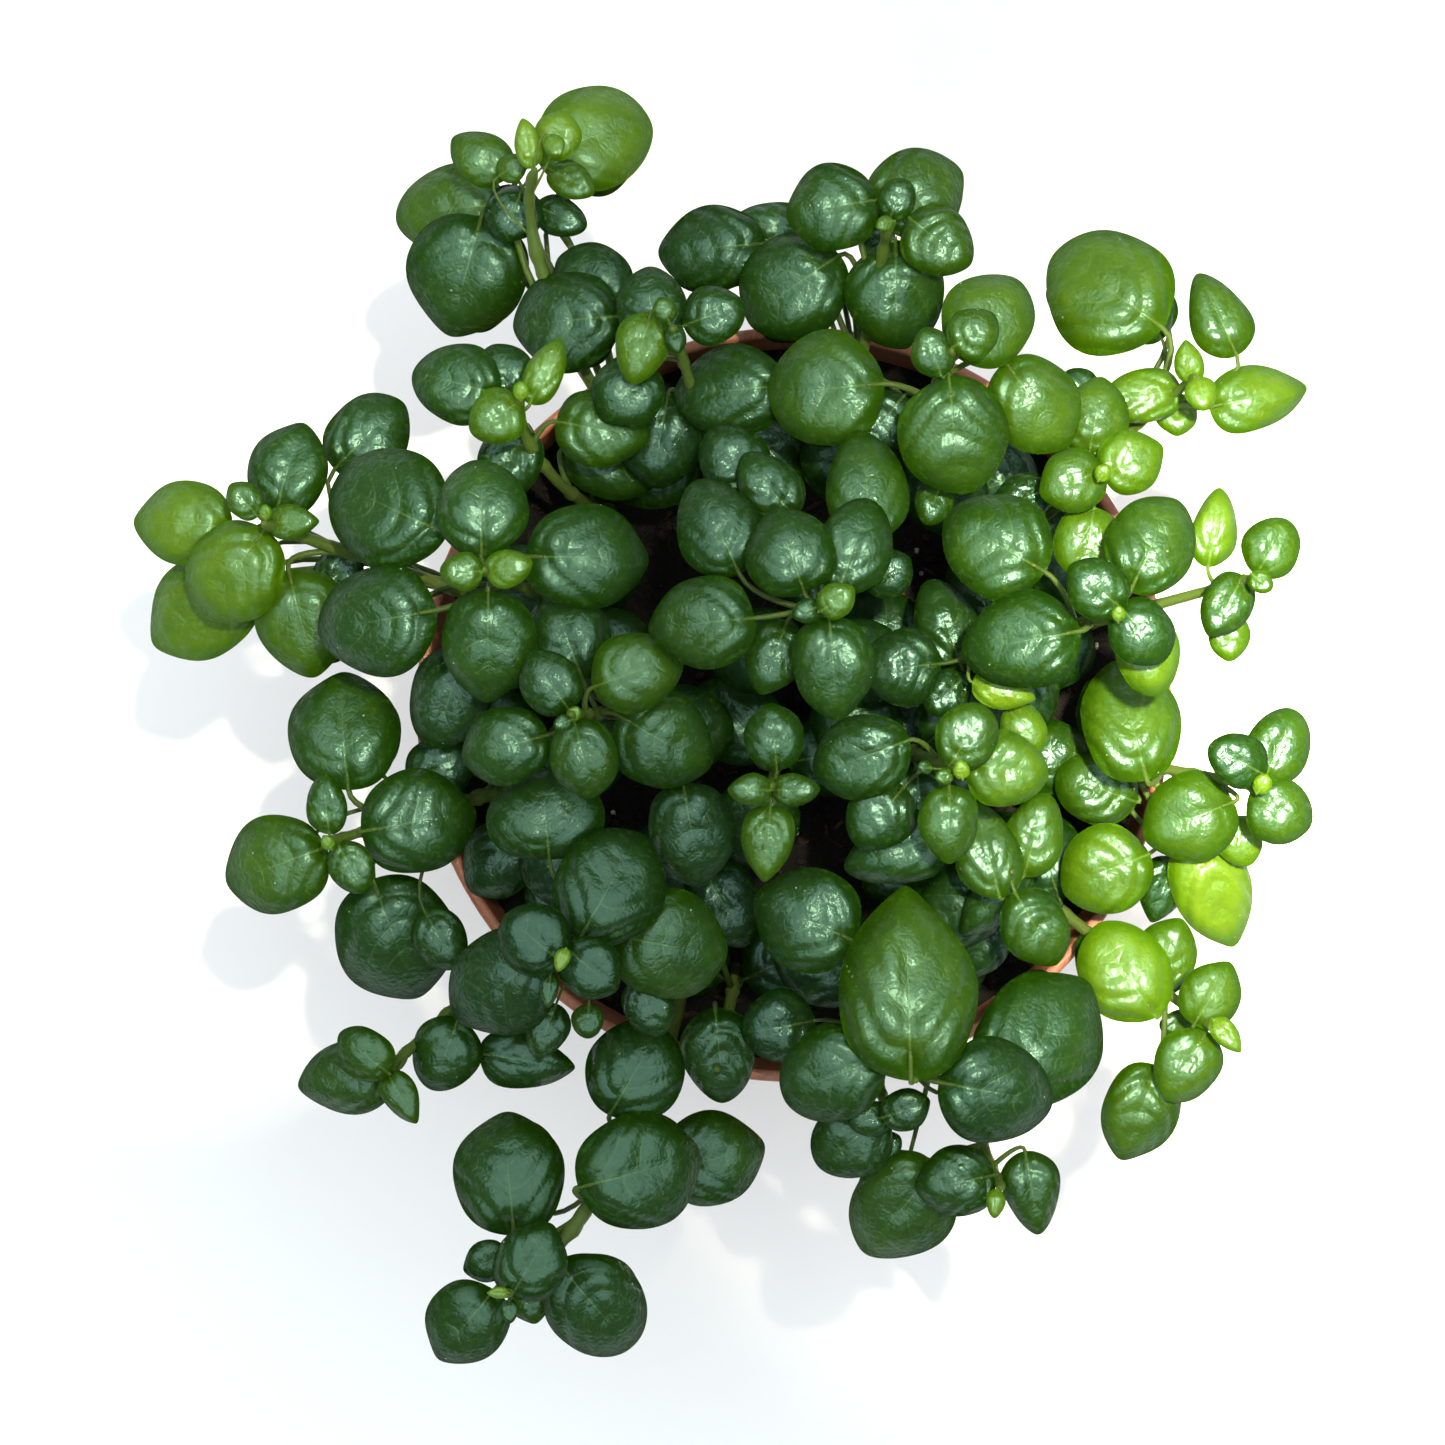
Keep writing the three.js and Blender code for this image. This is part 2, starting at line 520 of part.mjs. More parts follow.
// Inner radius of the pot at a height, below and inside the rim band.
function innerRadius(height) {
  if (height >= bandFoot) {
    const share = (height - bandFoot) / RIM_BAND_HEIGHT;
    return THREE.MathUtils.lerp(bandRadius, POT_RIM_RADIUS, share) - POT_WALL;
  }
  const share = height / (bandFoot - RIM_BAND_STEP);
  return THREE.MathUtils.lerp(POT_BASE_RADIUS, POT_SHOULDER_RADIUS, Math.min(share, 1)) - POT_WALL;
}

function makePot() {
  return solid(lathe([
    [0, 0], [POT_BASE_RADIUS, 0], [POT_SHOULDER_RADIUS, bandFoot], [bandRadius, bandFoot],
    [POT_RIM_RADIUS - 0.3, POT_HEIGHT - RIM_LIP], [POT_RIM_RADIUS - 0.6, POT_HEIGHT],
    [innerRadius(POT_HEIGHT) + 0.4, POT_HEIGHT], [innerRadius(POT_HEIGHT), POT_HEIGHT - RIM_LIP],
    [innerRadius(bandFoot), bandFoot], [innerRadius(bandFoot - RIM_BAND_STEP), bandFoot - RIM_BAND_STEP],
    [innerRadius(POT_FLOOR), POT_FLOOR], [0, POT_FLOOR],
  ], POT_SIDES));
}

// Height of the soil's uneven top.
function soilTop(x, y) {
  const crown = SOIL_CROWN * (1 - Math.hypot(x, y) / innerRadius(SOIL_EDGE_HEIGHT));
  const bumps = Math.sin(0.21 * x + 0.6) * Math.cos(0.17 * y - 0.4) + 0.6 * Math.sin(0.13 * x - 0.25 * y);
  return SOIL_EDGE_HEIGHT + crown + SOIL_BUMP * bumps;
}

function makeSoil() {
  const edge = innerRadius(SOIL_EDGE_HEIGHT - 2 * SOIL_BUMP) - GAP;
  const geometry = lathe([
    [0, POT_FLOOR + GAP], [innerRadius(POT_FLOOR) - GAP, POT_FLOOR + GAP],
    [innerRadius(bandFoot - RIM_BAND_STEP) - 2 * GAP, bandFoot - RIM_BAND_STEP],
    [innerRadius(bandFoot) - 2 * GAP, bandFoot], [edge, SOIL_EDGE_HEIGHT],
    [0.85 * edge, SOIL_EDGE_HEIGHT], [0.65 * edge, SOIL_EDGE_HEIGHT],
    [0.42 * edge, SOIL_EDGE_HEIGHT], [0.2 * edge, SOIL_EDGE_HEIGHT], [0, SOIL_EDGE_HEIGHT],
  ], 20);
  const position = geometry.attributes.position;
  for (let i = 0; i < position.count; i += 1) {
    const [x, y, z] = [position.getX(i), position.getY(i), position.getZ(i)];
    if (z > SOIL_EDGE_HEIGHT - 0.01 && Math.hypot(x, y) < edge - 0.01) position.setZ(i, soilTop(x, y));
  }
  return solid(geometry);
}

// A small irregular lump lying on the soil, such as a pebble or a piece of bark.
function lump({ x, y, length, width, height, bearing }) {
  const geometry = new THREE.IcosahedronGeometry(0.5, 1);
  const position = geometry.attributes.position;
  for (let i = 0; i < position.count; i += 1) {
    const [px, py, pz] = [position.getX(i), position.getY(i), position.getZ(i)];
    const swell = 1 + 0.12 * Math.sin(7 * px + 3) + 0.1 * Math.sin(6 * py + 5 * pz);
    position.setXYZ(i, px * swell * length, py * swell * width, pz * swell * height);
  }
  geometry.rotateZ(THREE.MathUtils.degToRad(bearing));
  return solid(geometry.translate(x, y, soilTop(x, y) + 0.55 * height + LYING_GAP));
}

// A dead leaf lying on the soil, without its stalk.
function fallenLeaf({ x, y, length, width, bearing }) {
  const turn = THREE.MathUtils.degToRad(bearing);
  const z = soilTop(x, y) + LEAF_THICKNESS + LYING_GAP;
  return bladeSolid({ x, y, length, width, turn, slope: [0, 0], z });
}

// ---- assembly -------------------------------------------------------------------------------

const plant = new THREE.Group();

function place(name, shape, color, roughness) {
  const material = new THREE.MeshStandardMaterial({ color, roughness, metalness: 0 });
  const mesh = new THREE.Mesh(geometryOf(shape), material);
  mesh.name = name;
  plant.add(mesh);
}

const shoots = SHOOTS.map(makeShoot);
settle(shoots.flatMap(({ leaves }) => leaves));
for (const shoot of shoots) {
  shoot.leaves = shoot.leaves.filter(clearsSoil);
  const drawn = shoot.leaves.filter(({ length }) => length >= SMALLEST_LEAF);
  shoot.first = Math.min(...drawn.map((leaf) => leafNode(leaf, shoot.stem).segment));
}

// Whatever is made later is cut back to stay clear of what is already there.
let taken = null;
const claim = (shape) => {
  taken = taken ? taken.add(shape) : shape;
};
const numbered = (i) => String(i + 1).padStart(2, "0");

place("pot", makePot(), 0xa8492e, 0.55);
let soil = makeSoil();
shoots.forEach((shoot, i) => {
  const stem = taken ? largestPiece(lowerStem(shoot).subtract(taken)) : lowerStem(shoot);
  place(`shoot_${numbered(i)}_stem`, stem, 0x6f7f3c, 0.6);
  const cleared = lowerStem(shoot, GAP);
  claim(cleared);
  soil = soil.subtract(cleared);
});
place("soil", largestPiece(soil), 0x1c1512, 0.95);
place("pebble", largestPiece(lump(PEBBLE).subtract(taken)), 0x6a5a5e, 0.8);
place("bark_chip", largestPiece(lump(BARK_CHIP).subtract(taken)), 0x5a3020, 0.85);
place("fallen_leaf", largestPiece(fallenLeaf(FALLEN_LEAF).subtract(taken)), 0x9a6f35, 0.7);

const topDown = [...shoots.keys()].sort((a, b) => SHOOTS[b][0][2] - SHOOTS[a][0][2]);
for (const i of topDown) {
  place(`shoot_${numbered(i)}_leaves`, largestPiece(leafyTop(shoots[i]).subtract(taken)), 0x3c6e35, 0.35);
  claim(leafyTop(shoots[i], GAP));
}

export default plant;
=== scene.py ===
"""Looks for a small-leaved foliage plant in a terracotta-coloured plastic pot, seen from above.

Lengths of the plant are in millimetres in the part's frame until Pile.build(), which writes
metres. Lamps and the camera are placed in metres. The leaves repeat the CAD part's leaves: each
is a domed blade over its plan outline, and they are packed from the top of the plant downwards,
each one sinking until it clears the leaves above it.
"""

import math

import bpy
import numpy as np
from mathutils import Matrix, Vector
from mathutils.geometry import interpolate_bezier


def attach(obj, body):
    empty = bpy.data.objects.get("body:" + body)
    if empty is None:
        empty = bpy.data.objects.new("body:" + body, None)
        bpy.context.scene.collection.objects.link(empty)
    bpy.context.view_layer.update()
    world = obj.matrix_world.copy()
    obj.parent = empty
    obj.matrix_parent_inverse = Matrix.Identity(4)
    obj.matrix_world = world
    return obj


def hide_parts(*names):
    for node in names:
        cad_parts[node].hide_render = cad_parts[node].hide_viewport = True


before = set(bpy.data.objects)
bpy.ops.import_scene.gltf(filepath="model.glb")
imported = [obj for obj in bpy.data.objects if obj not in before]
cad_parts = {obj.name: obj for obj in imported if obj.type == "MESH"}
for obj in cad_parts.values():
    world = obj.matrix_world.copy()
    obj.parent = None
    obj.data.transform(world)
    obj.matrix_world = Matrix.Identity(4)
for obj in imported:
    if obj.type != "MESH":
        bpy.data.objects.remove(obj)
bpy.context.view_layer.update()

MM = 0.001

# Pot and soil, as in the CAD part
POT_HEIGHT = 125
POT_BASE_RADIUS = 49
POT_RIM_RADIUS = 71
POT_SHOULDER_RADIUS = 65.6
POT_WALL = 2.1
RIM_BAND_HEIGHT = 23
RIM_BAND_STEP = 2.8
SOIL_EDGE_HEIGHT = 111
SOIL_CROWN = 2.5
SOIL_BUMP = 0.9

# Shoots, as in the CAD part
ROOT_SHARE = 0.72
ROOT_RADIUS = 50
PLANTING_DEPTH = 13
STEM_SHARE_UP = 0.9
LEAVE_RUN = 0.05
TIP_RUN_IN = 0.12
TIP_DIP = 22
STEM_SEGMENTS = 11
LOWEST_SEGMENT = 4
NODE_DROP_SHARE = 0.15
TIP_CLEAR_SHARE = 0.25
NODE_ABOVE_COST = 2

# Leaves, as in the CAD part
PAIR_DROP = 2.2
DOME_SHARE = 0.23
DOME_POWER = 2.6
LEAF_CLEARANCE = 1.6
TAPER_LEAST = 0.08
TAPER_MOST = 0.3
TIP_POINT = 0.25
YOUNG_RISE = 0.4
RISE_LOSS = 0.032
RISE_LEAST = -0.4
DROOP_RATE = 0.0018
UNDER_LEAF_FROM = 20
UNDER_RADIUS_FROM = 55
UNDER_SCALE = 0.8
UNDER_DROP = 9
UNDER_SHIFT = 2
UNDER_TURN = 25
LOW_COUNT = 3
LOW_SEGMENT = 5
LOW_TURN = 47
LOW_LENGTH = 18
LOW_WIDTH = 16
LOW_STALK = 2.5
LOW_LIFT = 2
LOW_RADIUS = 57
LOWEST_LEAF = 115

# What only the looks have
BLADE_THICKNESS = 0.45
RIM_THICKNESS = 0.15
RIM_ROLL = 0.6
DOME_LOOKS = 0.8
VEIN_STARTS = (-0.72, -0.2)
VEIN_SWEEP = 0.95
VEIN_BEND = 1.7
VEIN_STAGGER = 0.16
VEIN_WANDER = 0.09
PILLOW_DEPTH = 0.066
PILLOW_DEPTH_YOUNG = 0.064
MIDRIB_DEPTH = 0.022
CLEFT_DEPTH = 0.06
WAVE_DEPTH = 0.016
POINTED_FROM = 24
POINTED_MOST = 0.3
ROWS_PER_MM = 1.3
COLUMNS_PER_MM = 0.65
STEM_TOP_RADIUS = 0.8
STEM_FOOT_RADIUS = 1.5
STEM_RINGS = 90
STEM_SIDES = 12
NODE_SWELLING = 0.28
STALK_RADIUS = 0.62
STALK_SIDES = 8
POT_SIDES = 160
CORNER_RADIUS = 1.1
CORNER_STEPS = 5
SOIL_SIDES = 200
CRUMB_COUNT = 1500
CRUMB_SHARE = 0.8
CHIP_SHARE = 0.97
SEED = 27
SUN_COLOR = (1.0, 0.93, 0.66)
SUN_OFFSET = (0.17, 0.24, 1.85)
PLANT_MIDDLE = (0.0, 0.0, 0.15)

# One shoot a row: the tip [x, y, z] and any bow of its stem, then the leaves from the youngest
# down, each as [x, y, length, width, bearing, tint]. The tint runs from 0, a dark blue-green,
# to 1, a bright lime. Besides the leaves' own green it paints light and shade: high tints are
# painted sunlight on sunlit leaves, low tints painted shade on leaves deep under the others.
SHOOTS = [
    [[-48, 99, 155, 11], [
        [-44.5, 103.3, 4.5, 4, 300, 0.7], [-49.5, 104, 9.5, 5, 100, 0.85], [-44, 105.5, 9.5, 9, 70, 0.8],
        [-42.5, 71.2, 20, 19, 185, 0.1], [-37.5, 79, 16, 14, 140, 0.1], [-52.5, 99.8, 6, 5.5, 30, 0.6],
        [-58.5, 102, 13, 10, 150, 0.5], [-41.5, 97.5, 9.5, 7, 330, 0.6], [-52.5, 91.5, 11, 11, 250, 0.1],
        [-43.5, 91, 10.5, 7.5, 335, 0.2], [-37.3, 106.3, 22.5, 20, 20, 0.75],
        [-61.4, 80.6, 23, 23, 255, 0.2], [-64.5, 93, 21.5, 17, 185, 0.5],
    ]],
    [[-50.5, 56.5, 166, 7], [
        [-50.5, 57.6, 3.5, 3, 90, 0.9], [-55, 52.8, 11, 10.5, 215, 0.55], [-46, 61.5, 13.5, 7, 65, 0.6],
        [-62.5, 59.3, 17, 15, 165, 0.2], [-35.8, 50.8, 17.5, 14, 350, 0.35], [-54, 61, 12, 12, 100, 0.1],
        [-33.5, 45, 19, 14, 345, 0.4], [-53, 44.5, 15, 12, 250, 0.1],
    ]],
    [[-22.5, 69, 170], [
        [-24, 72.3, 5, 4.5, 110, 0.5], [-22, 67, 5.5, 4, 280, 0.3], [-28.3, 65.5, 13.5, 10, 255, 0.6],
        [-15, 71.7, 12, 11, 20, 0.3], [-26.5, 73.5, 15, 13, 100, 0.2], [-31, 57.5, 14, 13.5, 230, 0.1],
        [-25, 49, 18, 16, 260, 0.0],
    ]],
    [[17, 87.5, 162], [
        [16.5, 88.5, 3.5, 3, 200, 0.6], [18.8, 93.2, 8.5, 7, 70, 0.3], [6.8, 91.7, 17, 16.5, 190, 0.35],
        [26.5, 85.5, 14.5, 13, 320, 0.5], [22.8, 95, 18.5, 17, 20, 0.5], [18.7, 75.8, 20, 18.5, 270, 0.35],
        [-0.5, 77.3, 21, 20, 215, 0.2], [-15.5, 85, 20, 16, 185, 0.15], [-4.5, 89.5, 14, 9, 170, 0.3],
        [15.5, 85, 9, 7, 270, 0.1],
    ]],
    [[28.5, 64.5, 180], [
        [32.5, 67.8, 10, 9.5, 35, 0.4], [25, 64.3, 9.5, 8, 110, 0.3], [29, 49, 21.5, 20.5, 275, 0.35],
        [35.5, 70.7, 18.5, 17, 50, 0.6], [5.5, 58, 21.5, 21.5, 185, 0.35],
        [44.2, 54.8, 19.5, 16.5, 305, 0.5], [-12, 58, 21, 17, 185, 0.25], [25.5, 37, 8.5, 7, 250, 0.4],
        [16, 52, 13, 11, 230, 0.0],
    ]],
    [[56.5, 42.5, 168], [
        [56.5, 42.5, 3.5, 3, 60, 0.9], [51, 41, 12.5, 12, 200, 0.55], [62, 44.8, 12.5, 12, 25, 0.6],
        [55.5, 53, 15, 13, 80, 0.6], [54, 29.5, 14, 13, 260, 0.6], [52.5, 58, 9, 9, 60, 0.3],
        [42, 38, 12, 9, 200, 0.1],
    ]],
    [[74, 60.5, 158], [
        [75, 57.3, 6.5, 6, 280, 0.8], [72.8, 63.3, 8, 5.5, 100, 0.7], [63.8, 57, 16, 10, 190, 0.7],
        [86, 57, 19, 12, 12, 0.65], [78.5, 72.3, 17, 11, 115, 0.5], [58.3, 77, 24.5, 24, 145, 0.65],
        [71, 53.8, 8, 8, 270, 0.8], [65, 74, 14, 12, 120, 0.3],
    ]],
    [[85.5, 23.5, 150], [
        [86.5, 22.7, 5, 4.5, 320, 0.6], [88.7, 29.2, 12, 11, 60, 0.5], [80.2, 18.3, 13, 9.5, 240, 0.3],
        [78.3, 33, 15, 8.5, 80, 0.8], [81, 12.5, 9, 8, 265, 0.6],
    ]],
    [[58.5, 16.5, 178], [
        [59, 16.5, 3, 2.5, 90, 0.7], [55, 21.3, 12.5, 11, 140, 0.25], [63.5, 13, 13.5, 12, 310, 0.3],
        [65.5, 29.5, 19, 16.5, 65, 0.4], [41.5, 11.5, 22, 18, 190, 0.3], [37, 29.5, 21, 19.5, 150, 0.4],
        [65, 9, 16, 12, 280, 0.7],
    ]],
    [[86, -15, 155], [
        [86.5, -14.8, 4, 3.5, 60, 0.8], [82, -10.3, 12, 10, 150, 0.3], [90, -20, 13, 12.5, 325, 0.45],
        [90, -7.8, 15.5, 12, 65, 0.35], [62.5, -3, 23, 18.5, 105, 0.5], [73.5, -21.2, 18, 17, 200, 0.5],
        [78.5, -35, 22.5, 15, 290, 0.95], [83, -25.5, 10, 9, 300, 0.7], [58, -31, 17.5, 17, 200, 0.6],
        [69, -34.5, 13, 9, 250, 0.3], [56.5, -15.5, 16, 14, 160, 0.45], [49, -10, 14, 14, 120, 0.4],
    ]],
    [[77.5, -60, 148], [
        [80.3, -61.5, 8, 4.5, 310, 0.8], [77.5, -54, 13.5, 11.5, 60, 0.6], [73, -67.3, 15, 12.5, 240, 0.5],
        [64.5, -76.3, 19, 14.5, 250, 0.5], [61.5, -49.8, 20.5, 17, 125, 0.75],
        [69.5, -47, 15, 12, 70, 0.6], [72, -60, 8, 6, 180, 0.5],
    ]],
    [[29.5, -12, 188], [
        [30, -12, 3.5, 3, 100, 0.9], [27, -13.2, 3.5, 3, 190, 0.4], [23.5, -11.5, 3, 2.5, 170, 0.3],
        [31.3, -5.8, 13, 11.5, 60, 0.45], [28, -22, 14.5, 11, 270, 0.35], [38.5, -12, 15.5, 14, 350, 0.55],
        [12, -9.8, 18.5, 15.5, 200, 0.25], [15.5, -20.5, 14, 13, 230, 0.1], [18.5, -27, 20, 13, 200, 0.1],
    ]],
    [[5, 19, 192], [
        [7.3, 18.8, 7.5, 6.5, 35, 0.55], [1.8, 16.8, 5.5, 4.5, 200, 0.3], [6.8, 6.5, 19, 15, 275, 0.3],
        [-1.2, 27.7, 16.5, 16.5, 110, 0.25], [-17, 14.8, 19.5, 17, 185, 0.3],
        [10.8, 29, 18.5, 14, 70, 0.3], [-14.3, 32.3, 19, 15.5, 115, 0.2], [-4, 8.5, 14, 11, 250, 0.3],
        [13, 40, 21, 15, 95, 0.3], [-5, 40, 15, 11, 130, 0.15], [-11.5, 45, 14, 13, 130, 0.0],
        [17, 24, 10, 9, 30, 0.0],
    ]],
    [[-4.5, -15, 184], [
        [-8.4, -15.7, 8, 6, 180, 0.4], [0, -15.7, 9, 6, 0, 0.35], [-5.2, -25.3, 14, 9.5, 265, 0.6],
        [-4, -6, 12.5, 11, 95, 0.35],
    ]],
    [[-57, 24.5, 180], [
        [-61, 24.2, 8, 7, 180, 0.6], [-52.5, 24.8, 9, 7, 10, 0.65], [-57.5, 36, 18, 17, 90, 0.35],
        [-56.3, 10.8, 20.5, 17.5, 270, 0.3], [-38.3, 27, 22.5, 19.5, 0, 0.3],
        [-77, 15.3, 22.5, 20.5, 190, 0.2], [-75, 36.3, 23.5, 22.5, 155, 0.2],
    ]],
    [[-41, -2, 184], [
        [-42.5, -3.5, 3.5, 3, 200, 0.4], [-40.5, -1.8, 3, 2.5, 60, 0.8], [-45, 4, 13, 11, 125, 0.2],
        [-38.7, -10, 15, 12.5, 285, 0.35], [-29, 6, 17.5, 14.5, 20, 0.4],
        [-53.3, -7.8, 16.5, 14.5, 195, 0.25], [-24.3, -6.8, 19.5, 18, 330, 0.35],
        [-42, 12.5, 18, 16, 110, 0.1], [-64, 1, 20, 15, 250, 0.1], [-19, -24, 19.5, 16, 280, 0.1],
    ]],
    [[-43, -47, 178], [
        [-42.8, -46.8, 4.5, 2.8, 250, 1.0], [-48, -43, 14, 13.5, 140, 0.1],
        [-37.5, -48.5, 12.5, 11.5, 320, 0.1], [-45.2, -52.5, 6.5, 3.5, 265, 0.3],
        [-34, -33.3, 22.5, 20.5, 60, 0.25], [-46, -20.5, 17, 22, 95, 0.25],
        [-54.3, -51.8, 21, 19.5, 215, 0.15], [-23, -44.5, 21.5, 20.5, 350, 0.3],
        [-38.3, -58.5, 6.5, 6, 265, 0.3], [-27, -56, 12, 9.5, 290, 0.1], [-46, -60.5, 11, 8, 250, 0.2],
    ]],
    [[-86.5, -25.5, 154], [
        [-86.5, -25.6, 3, 2.5, 120, 0.7], [-86.8, -18.3, 11.5, 7.5, 95, 0.35],
        [-82.2, -30.3, 10.5, 8.5, 300, 0.35], [-70, -21.8, 21.5, 19.5, 10, 0.3],
        [-96.7, -30, 20, 18.5, 200, 0.5], [-84, -5, 22, 21, 95, 0.3], [-74.7, -44, 24, 23, 290, 0.25],
        [-66, -12, 14, 12, 30, 0.0], [-66, -44, 13, 10, 300, 0.2], [-55, -29, 17, 14, 230, 0.05],
    ]],
    [[-98.5, 33.5, 155], [
        [-98, 35.5, 3, 2.5, 90, 0.8], [-102, 37.8, 8, 6.5, 130, 0.5], [-93, 33.8, 9.5, 6.5, 0, 0.6],
        [-94, 43.8, 17.5, 15, 75, 0.35], [-104.3, 24.3, 20, 18.5, 235, 0.6],
        [-114, 33.8, 19, 16, 175, 0.65], [-91.7, 15.3, 20.5, 17.5, 285, 0.5],
        [-111.3, 17.7, 22, 19, 215, 0.6], [-79.5, 50.3, 18, 15, 45, 0.1], [-85, 25, 12, 9, 60, 0.1],
    ]],
    [[-76.5, -68.5, 150], [
        [-79.8, -64.7, 12, 9.5, 140, 0.4], [-73, -73, 11, 6.5, 300, 0.4],
        [-83.3, -69.5, 18.5, 14, 190, 0.4], [-65, -65.2, 14.5, 13, 250, 0.3],
        [-50, -66.5, 18, 10.5, 350, 0.2],
    ]],
    [[-54.5, -109.5, 153, 11], [
        [-55, -109, 4, 2.2, 180, 0.9], [-48.8, -103.3, 15.5, 13.5, 60, 0.2],
        [-53, -112.7, 4.5, 3.5, 270, 0.3], [-28.8, -86.8, 23.5, 22, 15, 0.35],
        [-29.5, -68, 19.5, 18.5, 60, 0.15], [-61.3, -115.5, 17, 15.5, 230, 0.3],
        [-37, -112.5, 21.5, 18.5, 310, 0.3], [-53.3, -87.7, 23, 21, 95, 0.3],
        [-57.5, -104.2, 9, 8, 200, 0.3], [-49.5, -111.5, 9, 8, 280, 0.3], [-15, -85, 19, 18, 15, 0.3],
    ]],
    [[-14.5, -68, 143], [
        [-14, -65.5, 18, 14, 275, 0.15], [-13, -37.5, 17, 14, 300, 0.05],
    ]],
    [[38.5, -90, 148], [
        [37.3, -92.8, 5.5, 3.5, 265, 0.8], [30, -88.8, 15, 13.5, 190, 0.2],
        [44.3, -91, 16, 10.5, 280, 0.3], [20, -94, 22, 19.5, 230, 0.3],
    ]],
    [[17, -76, 154], [
        [20.5, -75, 9.5, 8, 20, 0.2], [14, -77, 8.5, 6.5, 190, 0.1], [10.5, -81, 16, 15, 220, 0.25],
        [18, -82, 5, 4, 270, 0.1], [-3, -60, 14, 14, 190, 0.0],
    ]],
    [[22, -69, 176], [
        [20.5, -51, 35.5, 25.5, 92, 0.5], [36.8, -71.2, 21.5, 19.5, 350, 0.15],
        [6.5, -68.3, 20, 17.5, 200, 0.3], [45.5, -61.5, 27, 23.5, 50, 0.3], [2, -39.5, 20, 19.5, 155, 0.1],
    ]],
    [[40, -31, 160], [
        [44.5, -41.5, 15.5, 12.5, 300, 0.4], [35.5, -27, 18, 12, 105, 0.5], [44.5, -24, 16, 11, 75, 0.5],
        [37, -36, 18, 10, 230, 0.1], [31, -38, 19, 15, 215, 0.1], [35.5, -44.5, 14, 10, 250, 0.1],
    ]],
    [[33, 9, 160], [
        [38.5, 2.5, 12, 7, 345, 0.85], [19.5, 6.8, 15, 14.5, 185, 0.1], [42.5, -4.5, 10, 8, 310, 0.6],
        [28, 15, 18, 12, 110, 0.1], [28, 2, 10, 9, 220, 0.0],
    ]],
]

# ---- leaves as in the CAD part --------------------------------------------------------------


class Leaf:
    """A blade: the middle of its plan outline, its size, bearing, tilt and height."""

    def __init__(self, row, base_height):
        self.x, self.y, self.length, self.width, bearing, self.tint = row
        self.turn = math.radians(bearing)
        rise = max(YOUNG_RISE - RISE_LOSS * self.length, RISE_LEAST)
        self.slope_x = rise * math.cos(self.turn) - DROOP_RATE * self.x
        self.slope_y = rise * math.sin(self.turn) - DROOP_RATE * self.y
        along_slope = self.slope_x * math.cos(self.turn) + self.slope_y * math.sin(self.turn)
        self.z = base_height + along_slope * self.length / 2
        slimness = self.length / self.width - 1.05
        self.taper = min(max(0.6 * slimness, TAPER_LEAST), TAPER_MOST)
        self.dome = DOME_SHARE * (self.length + self.width) / 2
        self.youth = min(max((20 - self.length) / 12, 0), 1)

    def breadth(self, along):
        """Half-breadth as a share of the greatest, at a share along the blade from -1 to 1."""
        return (1 - self.taper * along) * (1 - TIP_POINT * np.maximum(along, 0) ** 4)

    def plane(self, dx, dy):
        """Height of the plane of the rim beside the blade's middle."""
        return self.z + self.slope_x * dx + self.slope_y * dy

    def place(self, along, across):
        """Plan offsets from the middle: along in half-lengths, across in shares of the breadth."""
        u = along * self.length / 2
        v = across * self.breadth(along) * self.width / 2
        return (
            u * math.cos(self.turn) - v * math.sin(self.turn),
            u * math.sin(self.turn) + v * math.cos(self.turn),
        )

    def top(self, x, y):
        """Height of the upper side over plan points, or NaN beside the leaf."""
        dx, dy = x - self.x, y - self.y
        along = (dx * math.cos(self.turn) + dy * math.sin(self.turn)) / (self.length / 2)
        across = (dy * math.cos(self.turn) - dx * math.sin(self.turn)) / (self.width / 2)
        share = np.hypot(along, across / self.breadth(along))
        height = self.plane(dx, dy) + self.dome * (1 - np.minimum(share, 1) ** DOME_POWER)
        return np.where((np.abs(along) > 1) | (share > 1), np.nan, height)

    def probes(self):
        """Plan points spread over the blade."""
        share, angle = np.meshgrid([0, 0.35, 0.7, 0.97], np.arange(16) * math.pi / 8)
        dx, dy = self.place(share * np.cos(angle), share * np.sin(angle))
        return self.x + dx.ravel(), self.y + dy.ravel()

    def base(self):
        """The point of the rim where the stalk meets the blade."""
        dx, dy = self.place(-1.0, 0.0)
        return Vector((self.x + dx, self.y + dy, self.plane(dx, dy)))


def sink_needed(upper, lower):
    """How far the lower leaf has to sink to pass below the upper one."""
    reach = (upper.length + upper.width + lower.length + lower.width) / 4 + 2
    if math.hypot(upper.x - lower.x, upper.y - lower.y) > reach:
        return 0
    x, y = np.hstack([upper.probes(), lower.probes()])
    overlap = lower.top(x, y) + LEAF_CLEARANCE - upper.top(x, y)
    return max(0, np.nanmax(np.append(overlap, 0)))


def settle(leaves):
    """Sinks each leaf, from the top one down, until it clears all those above it."""
    ordered = sorted(leaves, key=lambda leaf: -leaf.z)
    for i, lower in enumerate(ordered):
        for upper in ordered[:i]:
            lower.z -= sink_needed(upper, lower)


def under_leaf(row):
    """A smaller leaf half hidden below an outer one, turned a little from it."""
    x, y, length, width, bearing, tint = row
    inward = 1 - UNDER_SHIFT / math.hypot(x, y)
    # The tint is halved: painted shade from the outer leaf above.
    return [
        x * inward, y * inward,
        length * UNDER_SCALE, width * UNDER_SCALE, bearing + UNDER_TURN, tint * 0.5,
    ]


